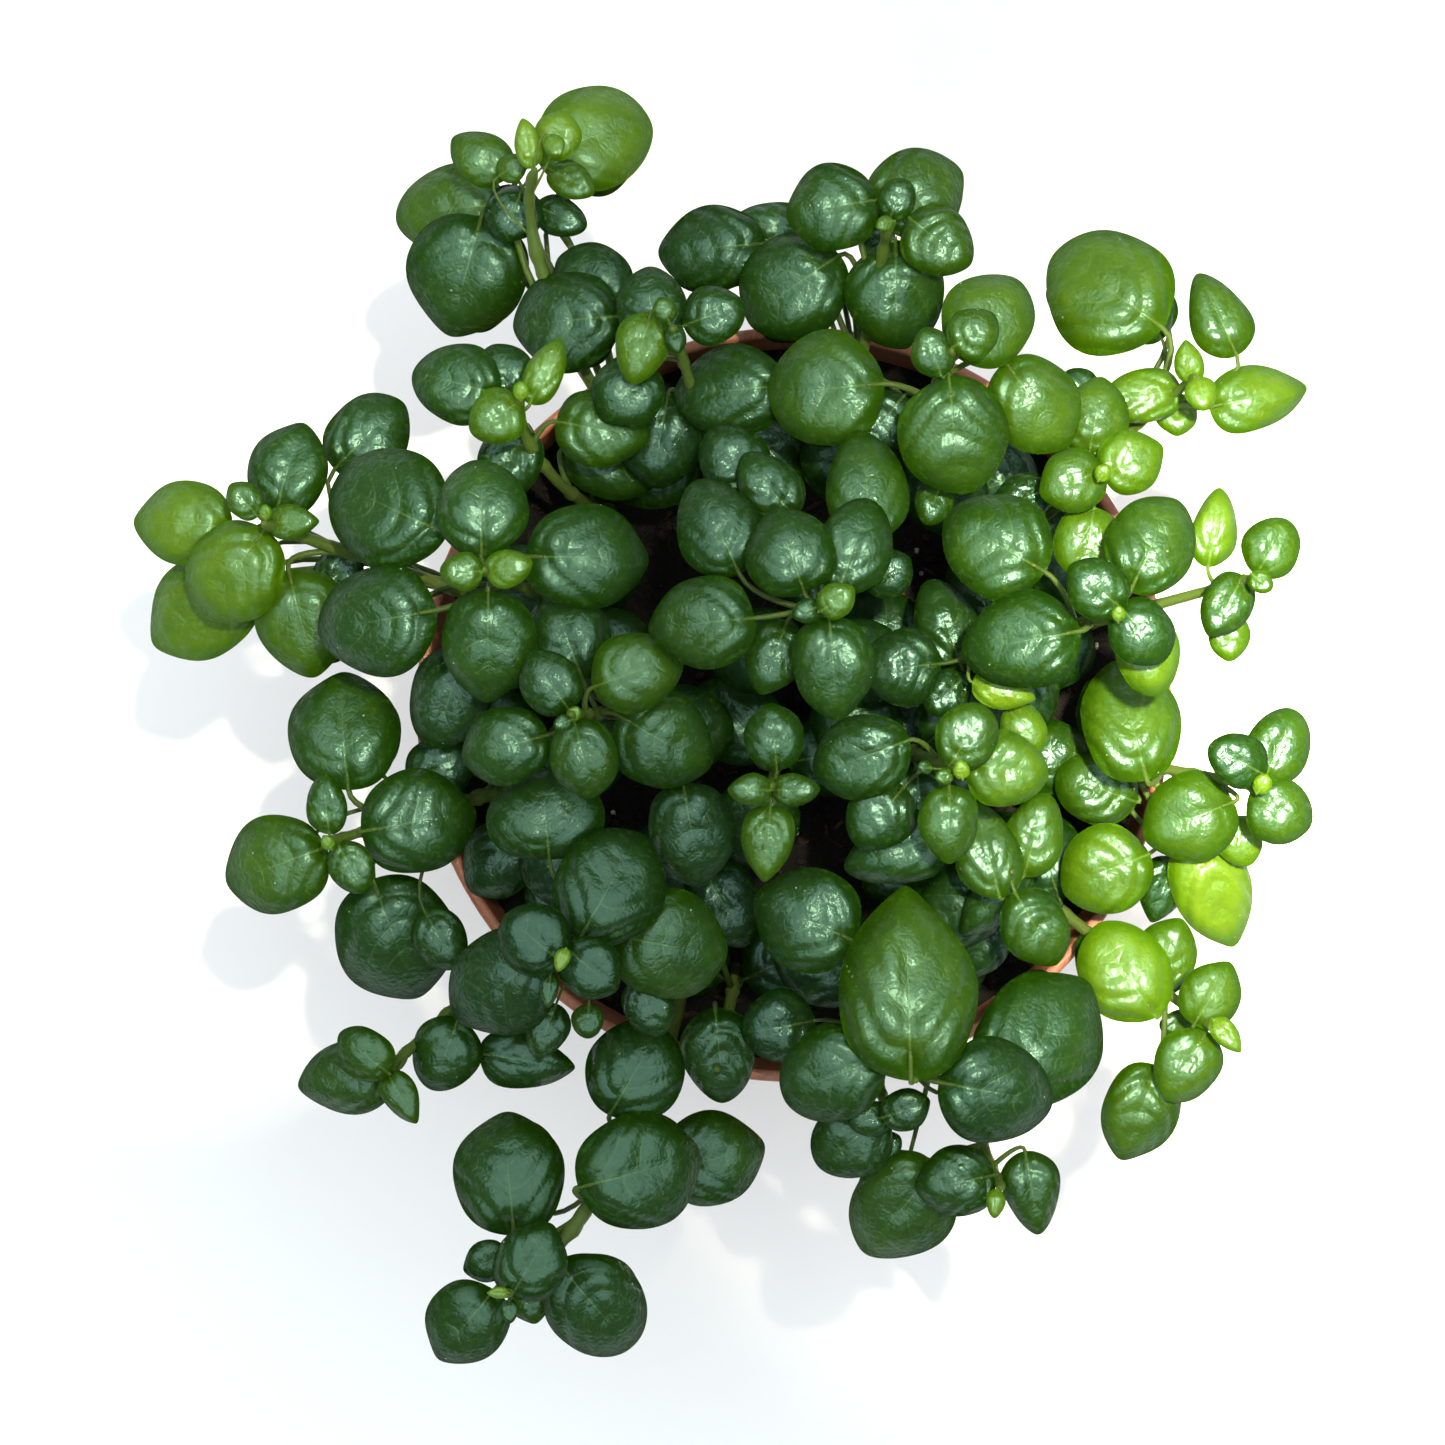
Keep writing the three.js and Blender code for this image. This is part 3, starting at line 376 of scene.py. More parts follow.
def low_leaves(tip, number):
    """Old leaves round the foot of a stem, hiding the soil. The rim of the pot limits them."""
    stem = stem_points(tip, STEM_SEGMENTS + 1)[LOW_SEGMENT]
    leaves = []
    for i in range(LOW_COUNT):
        bearing = (number * LOW_TURN + i * 360 / LOW_COUNT) % 360
        reach = LOW_LENGTH / 2 + LOW_STALK
        x = stem[0] + reach * math.cos(math.radians(bearing))
        y = stem[1] + reach * math.sin(math.radians(bearing))
        if math.hypot(x, y) < LOW_RADIUS:
            # Tint 0, the darkest blue-green, is painted shade deep in the plant.
            leaves.append(Leaf([x, y, LOW_LENGTH, LOW_WIDTH, bearing, 0.0], stem[2] + LOW_LIFT))
    return leaves


def shoot_leaves(tip, rows, number):
    leaves = [Leaf(row, tip[2] - PAIR_DROP * i) for i, row in enumerate(rows)]
    for i, row in enumerate(rows):
        if row[2] >= UNDER_LEAF_FROM and math.hypot(row[0], row[1]) >= UNDER_RADIUS_FROM:
            leaves.append(Leaf(under_leaf(row), tip[2] - PAIR_DROP * i - UNDER_DROP))
    return leaves + low_leaves(tip, number)


def clears_soil(leaf):
    """Whether a settled leaf is above the soil, or is far enough out to hang beside the pot."""
    return leaf.z > LOWEST_LEAF or math.hypot(leaf.x, leaf.y) > LOW_RADIUS


# ---- stems ----------------------------------------------------------------------------------


def stem_points(tip, count):
    """Evenly spaced points along a stem from its planted end to its tip. A fourth number in the
    tip is how far the stem bows to the left of its run."""
    bow = tip[3] if len(tip) > 3 else 0
    tip = Vector(tip[:3])
    share = min(ROOT_SHARE, ROOT_RADIUS / math.hypot(tip.x, tip.y))
    root = Vector((share * tip.x, share * tip.y, SOIL_EDGE_HEIGHT - PLANTING_DEPTH))
    run = Vector((tip.x - root.x, tip.y - root.y, 0))
    sideways = Vector((-run.y, run.x, 0)) * (bow / run.length)
    leave = root + run * LEAVE_RUN + sideways + Vector((0, 0, STEM_SHARE_UP * (tip.z - root.z)))
    arrive = tip - run * TIP_RUN_IN + sideways - Vector((0, 0, TIP_DIP))
    fine = np.array(interpolate_bezier(root, leave, arrive, tip, 400))
    steps = np.linalg.norm(np.diff(fine, axis=0), axis=1)
    travelled = np.concatenate([[0], np.cumsum(steps)])
    wanted = np.linspace(0, travelled[-1], count)
    return np.stack([np.interp(wanted, travelled, fine[:, axis]) for axis in range(3)], axis=1)


def leaf_node(leaf, stem):
    """The stem point that a leaf grows from: near its base, and below it where the stem allows."""
    wanted = np.array(leaf.base()) - [0, 0, leaf.length * NODE_DROP_SHARE]
    first = len(stem) * LOWEST_SEGMENT // STEM_SEGMENTS
    last = len(stem) - round(len(stem) * TIP_CLEAR_SHARE / STEM_SEGMENTS)
    beside = np.linalg.norm(stem[first:last] - wanted, axis=1)
    above = np.maximum(stem[first:last, 2] - wanted[2], 0)
    return first + int(np.argmin(beside + NODE_ABOVE_COST * above))


# ---- meshes ---------------------------------------------------------------------------------


class Pile:
    """Points, faces and point values of several bits, gathered into one mesh."""

    def __init__(self):
        self.points = []
        self.faces = []
        self.values = {}
        self.count = 0

    def add(self, points, faces, **values):
        self.points.append(points)
        self.faces += [tuple(corner + self.count for corner in face) for face in faces]
        for name, value in values.items():
            self.values.setdefault(name, []).append(np.broadcast_to(value, len(points)))
        self.count += len(points)

    def build(self, name, material):
        mesh = bpy.data.meshes.new(name)
        mesh.from_pydata((np.concatenate(self.points) * MM).tolist(), [], self.faces)
        for key, parts in self.values.items():
            layer = mesh.attributes.new(key, "FLOAT", "POINT")
            layer.data.foreach_set("value", np.concatenate(parts).astype(np.float32))
        mesh.polygons.foreach_set("use_smooth", [True] * len(mesh.polygons))
        mesh.materials.append(material)
        piece = bpy.data.objects.new(name, mesh)
        bpy.context.scene.collection.objects.link(piece)
        return piece


def tube(path, radii, sides):
    """Points and faces of a closed round tube along a path of points."""
    path = np.asarray(path, float)
    forward = np.gradient(path, axis=0)
    forward /= np.linalg.norm(forward, axis=1)[:, None]
    side = np.cross(forward[0], [0.3, 0.9, 0.1])
    rings = []
    for point, ahead, radius in zip(path, forward, radii):
        side -= ahead * np.dot(side, ahead)
        side /= np.linalg.norm(side)
        other = np.cross(ahead, side)
        angles = np.arange(sides) * 2 * math.pi / sides
        rings.append(point + radius * (np.outer(np.cos(angles), side) + np.outer(np.sin(angles), other)))
    points = np.concatenate(rings)
    faces = []
    for ring in range(len(path) - 1):
        for i in range(sides):
            here, after = ring * sides + i, ring * sides + (i + 1) % sides
            faces.append((here, after, after + sides, here + sides))
    faces.append(tuple(reversed(range(sides))))
    faces.append(tuple(range(len(points) - sides, len(points))))
    return points, faces


def grid_faces(rows, columns, offset, flip):
    """Quads over a grid of points numbered row by row from an offset."""
    faces = []
    for r in range(rows - 1):
        for c in range(columns - 1):
            first = offset + r * columns + c
            face = (first, first + columns, first + columns + 1, first + 1)
            faces.append(face if flip else face[::-1])
    return faces


def leaf_relief(leaf, along, across, vein, rng):
    """Height added to the smooth dome: pillows between the veins, the sunken midrib, and waves.
    The pillows are deepest towards the rim and the base, and on young leaves."""
    spacing = VEIN_STARTS[1] - VEIN_STARTS[0]
    share = np.minimum(np.hypot(along, across), 1)
    pillows = np.abs(np.sin(math.pi * (vein - VEIN_STARTS[0]) / spacing)) ** 0.7 - 0.6
    pillows *= (0.5 + 0.5 * share**2) * (1 - 0.6 * share**6) * np.clip(0.55 - 0.6 * vein, 0.12, 1)
    depth = leaf.length * (PILLOW_DEPTH + PILLOW_DEPTH_YOUNG * leaf.youth) * rng.uniform(0.5, 1.3)
    midrib = -leaf.length * (MIDRIB_DEPTH + MIDRIB_DEPTH * leaf.youth) * np.exp(-((across / 0.09) ** 2))
    midrib *= 1 - 0.7 * np.maximum(along, 0)
    cleft = -CLEFT_DEPTH * leaf.length * np.exp(-(((along + 1) / 0.3) ** 2) - (across / 0.16) ** 2)
    a, b, c, d = rng.uniform(0, 2 * math.pi, 4)
    waves = np.sin(2.6 * along + a) * np.cos(3.1 * across + b)
    waves = waves + 0.6 * np.sin(5.3 * across + 2.2 * along + c) + 0.4 * np.sin(6.1 * along + d)
    return depth * pillows + (1 - share**8) * (midrib + cleft) + WAVE_DEPTH * leaf.length * waves


def add_leaf(pile, leaf, rng):
    """A blade as a closed thin sheet: an upper grid, a lower grid, and the rim between them."""
    rows = 2 * round(min(max(leaf.length * ROWS_PER_MM, 12), 30)) + 1
    columns = 2 * round(min(max(leaf.length * COLUMNS_PER_MM, 7), 14)) + 1
    along, across = np.meshgrid(
        -np.cos(np.linspace(0.02, math.pi - 0.02, rows)),
        np.sin(np.linspace(-math.pi / 2, math.pi / 2, columns)),
        indexing="ij",
    )
    across = across * np.sqrt(1 - along**2)
    share = np.minimum(np.hypot(along, across), 1)
    vein = along - VEIN_SWEEP * np.abs(across) ** VEIN_BEND
    vein = vein + np.where(across > 0, *rng.uniform(-VEIN_STAGGER, VEIN_STAGGER, 2))
    vein = vein + VEIN_WANDER * np.sin(4.1 * across + 2.7 * along + rng.uniform(0, 2 * math.pi))
    angle = np.arctan2(across, along)
    a, b = rng.uniform(0, 2 * math.pi, 2)
    outline = 1 + share**2 * (0.022 * np.sin(3 * angle + a) + 0.016 * np.sin(5 * angle + b))
    pointed = POINTED_MOST * min(max((leaf.length - POINTED_FROM) / 10, 0), 1)
    point = 1 - pointed * np.maximum(along + 0.1, 0) ** 2
    dx, dy = leaf.place(along * outline, across * outline * point)
    height = leaf.plane(dx, dy) + DOME_LOOKS * leaf.dome * (1 - share**DOME_POWER)
    height = height + leaf_relief(leaf, along, across, vein, rng)
    height = height - RIM_ROLL * leaf.length / 20 * np.maximum(0, (share - 0.7) / 0.3) ** 2
    thickness = RIM_THICKNESS + (BLADE_THICKNESS - RIM_THICKNESS) * (1 - share**8)
    upper = np.stack([leaf.x + dx, leaf.y + dy, height], axis=-1).reshape(-1, 3)
    lower = upper - np.stack([0 * share, 0 * share, thickness], axis=-1).reshape(-1, 3)

    number = np.arange(rows * columns).reshape(rows, columns)
    edge = [*number[0, :], *number[1:, -1], *number[-1, -2::-1], *number[-2:0:-1, 0]]
    following = edge[1:] + edge[:1]
    below = rows * columns
    faces = grid_faces(rows, columns, 0, flip=True) + grid_faces(rows, columns, below, flip=False)
    faces += [(a, a + below, b + below, b) for a, b in zip(edge, following)]

    def twice(values):
        return np.tile(values.ravel(), 2)

    pile.add(
        np.concatenate([upper, lower]), faces,
        along=twice(along), share=twice(share), vein=twice(vein),
        side=twice(across * leaf.breadth(along) * leaf.width / 2),
        under=np.repeat([0.0, 1.0], below), tint=leaf.tint, youth=leaf.youth,
        seed=rng.uniform(0, 1),
    )


def add_stalk(pile, leaf, stem, node):
    """A leaf's stalk, curving from its node on the stem into the underside of the blade."""
    ahead = Vector((math.cos(leaf.turn), math.sin(leaf.turn), 0))
    foot = Vector(stem[node])
    base = leaf.base() + Vector((0, 0, -RIM_ROLL * leaf.length / 20 - 0.25))
    gap = (base - foot).length
    reach = ahead * leaf.length * 0.16
    dx, dy = leaf.place(-0.7, 0.0)
    inside = leaf.dome * (1 - 0.7**DOME_POWER) - 0.06 * leaf.length - 0.3
    head = Vector((leaf.x + dx, leaf.y + dy, leaf.plane(dx, dy) + inside))
    leave = foot + (base - foot) * 0.3 - ahead * gap * 0.12 + Vector((0, 0, 0.12 * gap))
    first = interpolate_bezier(foot, leave, base - ahead * gap * 0.3, base, 9)
    second = interpolate_bezier(base, base + reach * 0.4, head - reach * 0.4, head, 5)
    path = [*first, *second[1:]]
    scale = min(max(leaf.length / 20, 0.4), 1.15)
    radii = STALK_RADIUS * scale * np.linspace(1.15, 0.55, len(path))
    points, faces = tube(path, radii, STALK_SIDES)
    pile.add(points, faces, rise=1.0, tint=leaf.tint)


def add_stem(pile, tip, nodes):
    """A stem with a slight swelling at each node, thinning towards its tip."""
    path = stem_points(tip, STEM_RINGS)
    share = np.linspace(0, 1, len(path))
    radii = STEM_FOOT_RADIUS + (STEM_TOP_RADIUS - STEM_FOOT_RADIUS) * share
    for node in nodes:
        radii = radii + NODE_SWELLING * np.exp(-(((np.arange(len(path)) - node) / 1.3) ** 2))
    radii[-3:] *= [0.9, 0.75, 0.5]
    points, faces = tube(path, radii, STEM_SIDES)
    pile.add(points, faces, rise=np.repeat(share, STEM_SIDES), tint=0.5)


def turned(profile, sides):
    """Points and faces of a closed surface turned about Z from [radius, height] points. The
    profile starts and ends on the axis."""
    ends = [profile[0], profile[-1]]
    rings = [
        [[r * math.cos(a), r * math.sin(a), z] for a in np.arange(sides) * 2 * math.pi / sides]
        for r, z in profile[1:-1]
    ]
    points = np.array([[0, 0, ends[0][1]], [0, 0, ends[1][1]], *sum(rings, [])])

    def first(ring, i):
        return 2 + ring * sides + i % sides

    faces = [(0, first(0, i + 1), first(0, i)) for i in range(sides)]
    for ring in range(len(rings) - 1):
        faces += [
            (first(ring, i), first(ring, i + 1), first(ring + 1, i + 1), first(ring + 1, i))
            for i in range(sides)
        ]
    faces += [(1, first(len(rings) - 1, i), first(len(rings) - 1, i + 1)) for i in range(sides)]
    return points, faces


# ---- pot and soil ---------------------------------------------------------------------------

BAND_FOOT = POT_HEIGHT - RIM_BAND_HEIGHT
BAND_RADIUS = POT_SHOULDER_RADIUS + RIM_BAND_STEP


def inner_radius(height):
    """Inner radius of the pot at a height."""
    if height >= BAND_FOOT:
        share = (height - BAND_FOOT) / RIM_BAND_HEIGHT
        return BAND_RADIUS + (POT_RIM_RADIUS - BAND_RADIUS) * share - POT_WALL
    share = min(height / (BAND_FOOT - RIM_BAND_STEP), 1)
    return POT_BASE_RADIUS + (POT_SHOULDER_RADIUS - POT_BASE_RADIUS) * share - POT_WALL


def rounded(corner_list):
    """A profile with every corner between its ends replaced by a small arc."""
    points = [np.array(corner_list[0], float)]
    for before, corner, after in zip(corner_list, corner_list[1:], corner_list[2:]):
        before, corner, after = (np.array(p, float) for p in (before, corner, after))
        back, on = before - corner, after - corner
        cut = min(CORNER_RADIUS, np.linalg.norm(back) * 0.45, np.linalg.norm(on) * 0.45)
        start = corner + back / np.linalg.norm(back) * cut
        end = corner + on / np.linalg.norm(on) * cut
        for t in np.linspace(0, 1, CORNER_STEPS):
            points.append((1 - t) ** 2 * start + 2 * t * (1 - t) * corner + t**2 * end)
    points.append(np.array(corner_list[-1], float))
    return [point.tolist() for point in points]


def make_pot(material):
    floor = 3
    corners = [
        [0, 0.6], [POT_BASE_RADIUS - 4, 0.6], [POT_BASE_RADIUS - 5, 0], [POT_BASE_RADIUS, 0],
        [POT_SHOULDER_RADIUS, BAND_FOOT], [BAND_RADIUS, BAND_FOOT],
        [POT_RIM_RADIUS - 0.4, POT_HEIGHT - 3.2], [POT_RIM_RADIUS, POT_HEIGHT - 3],
        [POT_RIM_RADIUS, POT_HEIGHT], [inner_radius(POT_HEIGHT), POT_HEIGHT],
        [inner_radius(BAND_FOOT), BAND_FOOT + 2.5], [inner_radius(BAND_FOOT - 3), BAND_FOOT - 0.5],
        [inner_radius(floor), floor], [0, floor],
    ]
    pile = Pile()
    pile.add(*turned(rounded(corners), POT_SIDES))
    return pile.build("pot_shell", material)


def soil_top(x, y):
    crown = SOIL_CROWN * (1 - np.hypot(x, y) / inner_radius(SOIL_EDGE_HEIGHT))
    bumps = np.sin(0.21 * x + 0.6) * np.cos(0.17 * y - 0.4) + 0.6 * np.sin(0.13 * x - 0.25 * y)
    return SOIL_EDGE_HEIGHT + crown + SOIL_BUMP * bumps


def crumb_shape():
    """Corner points and faces of a twenty-sided lump."""
    g = (1 + 5**0.5) / 2
    corners = np.array([
        [-1, g, 0], [1, g, 0], [-1, -g, 0], [1, -g, 0], [0, -1, g], [0, 1, g],
        [0, -1, -g], [0, 1, -g], [g, 0, -1], [g, 0, 1], [-g, 0, -1], [-g, 0, 1],
    ]) / math.hypot(1, g)
    faces = [
        (0, 11, 5), (0, 5, 1), (0, 1, 7), (0, 7, 10), (0, 10, 11), (1, 5, 9), (5, 11, 4),
        (11, 10, 2), (10, 7, 6), (7, 1, 8), (3, 9, 4), (3, 4, 2), (3, 2, 6), (3, 6, 8),
        (3, 8, 9), (4, 9, 5), (2, 4, 11), (6, 2, 10), (8, 6, 7), (9, 8, 1),
    ]
    return corners, faces


def add_crumb(pile, x, y, size, rng, tone, lift=0.25):
    """An irregular lump of a size [a, b, c], half sunk in the soil."""
    corners, faces = crumb_shape()
    corners = corners * rng.uniform(0.75, 1.25, (12, 1)) * np.array(size) / 2
    turn, tilt = rng.uniform(0, 2 * math.pi), rng.uniform(-0.5, 0.5)
    x1, y1, z1 = corners.T
    y1, z1 = y1 * math.cos(tilt) - z1 * math.sin(tilt), y1 * math.sin(tilt) + z1 * math.cos(tilt)
    x2, y2 = x1 * math.cos(turn) - y1 * math.sin(turn), x1 * math.sin(turn) + y1 * math.cos(turn)
    points = np.stack([x + x2, y + y2, soil_top(x, y) + lift * size[2] + z1], axis=1)
    pile.add(points, faces, tone=tone)


def make_soil(material, rng):
    """The soil's rough top and hidden side, strewn with crumbs, chips and white grit."""
    pile = Pile()
    edge = inner_radius(SOIL_EDGE_HEIGHT) - 0.1
    profile = [[0, 3.3], [inner_radius(4) - 0.4, 3.3]]
    profile += [[inner_radius(BAND_FOOT - 3) - 0.5, BAND_FOOT - 1]]
    profile += [[inner_radius(BAND_FOOT) - 0.8, BAND_FOOT + 3.2], [edge, SOIL_EDGE_HEIGHT - 2]]
    profile += [[r, SOIL_EDGE_HEIGHT] for r in np.linspace(edge, 0, 60)]
    points, faces = turned(profile, SOIL_SIDES)
    top = points[:, 2] > SOIL_EDGE_HEIGHT - 0.01
    x, y = points[top, 0], points[top, 1]
    fine = 0.5 * np.sin(1.1 * x + 0.7 * y) * np.cos(0.9 * y - 0.6 * x)
    points[top, 2] = soil_top(x, y) + fine + rng.uniform(-0.35, 0.35, len(x))
    pile.add(points, faces, tone=0.0)
    for _ in range(CRUMB_COUNT):
        radius, angle = edge * math.sqrt(rng.uniform(0, 0.97)), rng.uniform(0, 2 * math.pi)
        kind = rng.uniform()
        x, y = radius * math.cos(angle), radius * math.sin(angle)
        if kind < CRUMB_SHARE:
            size = rng.uniform(0.8, 2.6) * rng.uniform(0.6, 1.2, 3)
            add_crumb(pile, x, y, size, rng, rng.uniform(0.05, 0.45))
        elif kind < CHIP_SHARE:
            length = rng.uniform(2, 7)
            add_crumb(pile, x, y, [length, length * 0.22, 0.9], rng, rng.uniform(0.4, 0.75))
        else:
            add_crumb(pile, x, y, rng.uniform(0.7, 1.6) * np.ones(3), rng, 1.0, lift=0.4)
    return pile.build("soil_bed", material)


# ---- materials ------------------------------------------------------------------------------


class Shader:
    """A material's node tree, built with short calls. Every call returns an output socket."""

    def __init__(self, name, **constants):
        self.material = bpy.data.materials.new(name)
        self.material.use_nodes = True
        self.nodes = self.material.node_tree.nodes
        self.links = self.material.node_tree.links
        self.surface = self.nodes["Principled BSDF"]
        for socket, value in constants.items():
            self.surface.inputs[socket.replace("_", " ")].default_value = value
        self.place = self.node("ShaderNodeTexCoord").outputs["Object"]

    def node(self, kind, **settings):
        made = self.nodes.new(kind)
        for name, value in settings.items():
            setattr(made, name, value)
        return made

    def feed(self, socket, value):
        if isinstance(value, bpy.types.NodeSocket):
            self.links.new(value, socket)
        else:
            socket.default_value = value

    def value(self, name):
        """A value stored on the mesh's points."""
        return self.node("ShaderNodeAttribute", attribute_name=name).outputs["Fac"]

    def math(self, operation, a, b=0.0, c=0.0):
        made = self.node("ShaderNodeMath", operation=operation)
        for socket, value in zip(made.inputs, (a, b, c)):
            self.feed(socket, value)
        return made.outputs[0]

    def band(self, value, low, high, start=0.0, end=1.0):
        """The value carried smoothly from low..high to start..end, and held beyond them."""
        made = self.node("ShaderNodeMapRange", interpolation_type="SMOOTHSTEP")
        for socket, item in zip(made.inputs, (value, low, high, start, end)):
            self.feed(socket, item)
        return made.outputs[0]

    def mix(self, share, a, b, blend="MIX"):
        made = self.node("ShaderNodeMix", data_type="RGBA", blend_type=blend)
        for socket, value in zip((made.inputs[0], made.inputs[6], made.inputs[7]), (share, a, b)):
            self.feed(socket, value)
        return made.outputs[2]

    def noise(self, size_mm, detail, roughness=0.5):
        made = self.node("ShaderNodeTexNoise")
        self.feed(made.inputs["Vector"], self.place)
        made.inputs["Scale"].default_value = 1 / (size_mm * MM)
        made.inputs["Detail"].default_value = detail
        made.inputs["Roughness"].default_value = roughness
        return made.outputs["Fac"]

    def cells(self, size_mm, feature="F1"):
        made = self.node("ShaderNodeTexVoronoi", feature=feature)
        self.feed(made.inputs["Vector"], self.place)
        made.inputs["Scale"].default_value = 1 / (size_mm * MM)
        return made.outputs["Distance"]

    def ramp(self, value, *stops):
        made = self.node("ShaderNodeValToRGB")
        self.feed(made.inputs[0], value)
        elements = made.color_ramp.elements
        while len(elements) < len(stops):
            elements.new(0.5)
        for element, (position, color) in zip(elements, stops):
            element.position = position
            element.color = (*color, 1)
        return made.outputs["Color"]

    def bump(self, height, depth_mm):
        made = self.node("ShaderNodeBump")
        made.inputs["Distance"].default_value = depth_mm * MM
        self.feed(made.inputs["Height"], height)
        return made.outputs["Normal"]

    def finish(self, **sockets):
        for socket, value in sockets.items():
            self.feed(self.surface.inputs[socket.replace("_", " ")], value)
        return self.material


def rgb(r, g, b):
    return (r, g, b, 1.0)


def leaf_material():
    """Waxy green leaves, with pale veins and a pale underside. A darker green at the rim is painted
    shade, and the tint paints sunlit leaves lime and shaded ones dark blue-green.
    """
    s = Shader("leaf_skin", Specular_Tint=rgb(0.58, 1.0, 0.86))
    tint = s.math("ADD", s.value("tint"), s.math("MULTIPLY_ADD", s.noise(8, 3), 0.3, -0.15))
    tint = s.math("ADD", tint, s.math("MULTIPLY_ADD", s.value("seed"), 0.16, -0.08))
    # Painted light: the dark blue-green low end is painted shade, the lime high end painted sunlight.
    skin = s.ramp(
        tint,
        (0.0, (0.008, 0.029, 0.003)), (0.3, (0.014, 0.045, 0.001)), (0.55, (0.045, 0.098, 0.001)),
        (0.8, (0.100, 0.185, 0.003)), (1.0, (0.170, 0.265, 0.010)),
    )
    # Painted shade: the rolled rim of each blade is mixed towards a darker, more saturated green.
    shade_and_patch_green = s.mix(1.0, skin, rgb(0.45, 0.65, 0.15), "MULTIPLY")
    skin = s.mix(s.band(s.value("share"), 0.55, 1.0, 0.0, 0.8), skin, shade_and_patch_green)

    along = s.value("along")
    side = s.math("ABSOLUTE", s.value("side"))
    midrib_width = s.math("MULTIPLY_ADD", along, -0.16, 0.26)
    midrib = s.math("SUBTRACT", 1.0, s.band(side, 0.04, midrib_width))
    midrib = s.math("MULTIPLY", midrib, s.band(along, 0.8, -0.9, 0.0, 0.5))
    spacing = VEIN_STARTS[1] - VEIN_STARTS[0]
    phase = s.math("MULTIPLY_ADD", s.value("vein"), 1 / spacing, 0.5 - VEIN_STARTS[0] / spacing)
    nearness = s.math("ABSOLUTE", s.math("SUBTRACT", s.math("FRACT", phase), 0.5))
    vein = s.band(nearness, 0.06, 0.0)
    vein = s.math("MULTIPLY", vein, s.band(s.value("share"), 0.9, 0.2, 0.0, 0.22))
    veins = s.math("MAXIMUM", midrib, vein)
    pale = s.mix(0.5, skin, rgb(0.22, 0.38, 0.09))
    skin = s.mix(veins, skin, pale)

    patches = s.noise(2.4, 5, 0.7)
    skin = s.mix(s.band(patches, 0.4, 0.75, 0.0, 0.45), skin, shade_and_patch_green)
    mottle = s.band(s.noise(1.3, 3, 0.6), 0.5, 0.75, 0.0, 0.16)
    skin = s.mix(mottle, skin, pale)
    speck = s.band(s.cells(3.4), 0.07, 0.05)
    speck = s.math("MULTIPLY", speck, s.band(s.noise(5, 1), 0.57, 0.61, 0.0, 0.5))
    skin = s.mix(speck, skin, rgb(0.45, 0.52, 0.40))
    skin = s.mix(s.value("under"), skin, s.mix(0.45, skin, rgb(0.16, 0.27, 0.10)))

    fine = s.noise(0.5, 3, 0.6)
    height = s.math("MULTIPLY_ADD", s.noise(1.6, 2), 0.8, s.math("MULTIPLY", fine, 0.25))
    height = s.math("SUBTRACT", height, s.math("MULTIPLY", veins, 0.5))
    puckers = s.band(s.cells(1.5, "DISTANCE_TO_EDGE"), 0.0, 0.3, 0.0, 0.16)
    height = s.math("ADD", height, puckers)
    roughness = s.math("MULTIPLY_ADD", patches, 0.16, 0.24)
    roughness = s.math("MULTIPLY_ADD", s.value("youth"), -0.06, roughness)
    roughness = s.math("MULTIPLY_ADD", s.value("under"), 0.2, roughness)
    shine = s.band(s.value("share"), 0.55, 1.0, 0.75, 0.05)
    return s.finish(
        Base_Color=skin, Roughness=roughness, Specular_IOR_Level=shine, Normal=s.bump(height, 0.2)
    )


def stem_material():
    """Dull green stems and stalks, browner towards the soil. A stalk is lighter with its leaf's tint,
    which paints sunlight on the stalks of sunlit leaves.
    """
    s = Shader("stem_skin", Specular_IOR_Level=0.2)
    rise = s.value("rise")
    streaks = s.noise(1.2, 4, 0.6)
    green = s.ramp(
        s.math("MULTIPLY_ADD", streaks, 0.3, s.math("MULTIPLY_ADD", rise, 0.8, -0.12)),
        (0.0, (0.050, 0.034, 0.018)), (0.35, (0.055, 0.070, 0.022)),
        (0.7, (0.024, 0.047, 0.008)), (1.0, (0.028, 0.056, 0.006)),
    )
    # Painted sunlight: the tint mixes stalks towards a light yellow-green, most under sunlit leaves.
    lit = s.mix(s.math("MULTIPLY", s.value("tint"), 0.6), green, rgb(0.15, 0.24, 0.03))
    height = s.math("ADD", streaks, s.noise(0.4, 2))
    roughness = s.math("MULTIPLY_ADD", streaks, 0.25, 0.36)
    return s.finish(Base_Color=lit, Roughness=roughness, Normal=s.bump(height, 0.1))


def pot_material():
    """Moulded terracotta-coloured plastic, a little dusty, with faint flow marks and soil splashes."""
    s = Shader("pot_plastic", Specular_IOR_Level=0.45)
    cloud = s.noise(18, 4, 0.6)
    fine = s.noise(1.1, 4, 0.65)
    body = s.ramp(cloud, (0.3, (0.30, 0.095, 0.050)), (0.7, (0.40, 0.140, 0.075)))
    body = s.mix(s.band(fine, 0.35, 0.75, 0.0, 0.35), body, rgb(0.60, 0.26, 0.16))
    dust = s.band(s.noise(6, 6, 0.7), 0.52, 0.68, 0.0, 0.30)
    body = s.mix(dust, body, rgb(0.42, 0.33, 0.27))
    splash = s.band(s.cells(3.1), 0.16, 0.06, 0.0, 0.6)
    splash = s.math("MULTIPLY", splash, s.band(s.noise(14, 2), 0.5, 0.62))
    body = s.mix(splash, body, rgb(0.07, 0.045, 0.03))
    roughness = s.math("MULTIPLY_ADD", cloud, 0.25, 0.36)
    roughness = s.math("MULTIPLY_ADD", dust, 0.8, roughness)
    height = s.math("MULTIPLY_ADD", fine, 0.6, s.math("MULTIPLY", s.noise(0.35, 2), 0.4))
    return s.finish(Base_Color=body, Roughness=roughness, Normal=s.bump(height, 0.06))


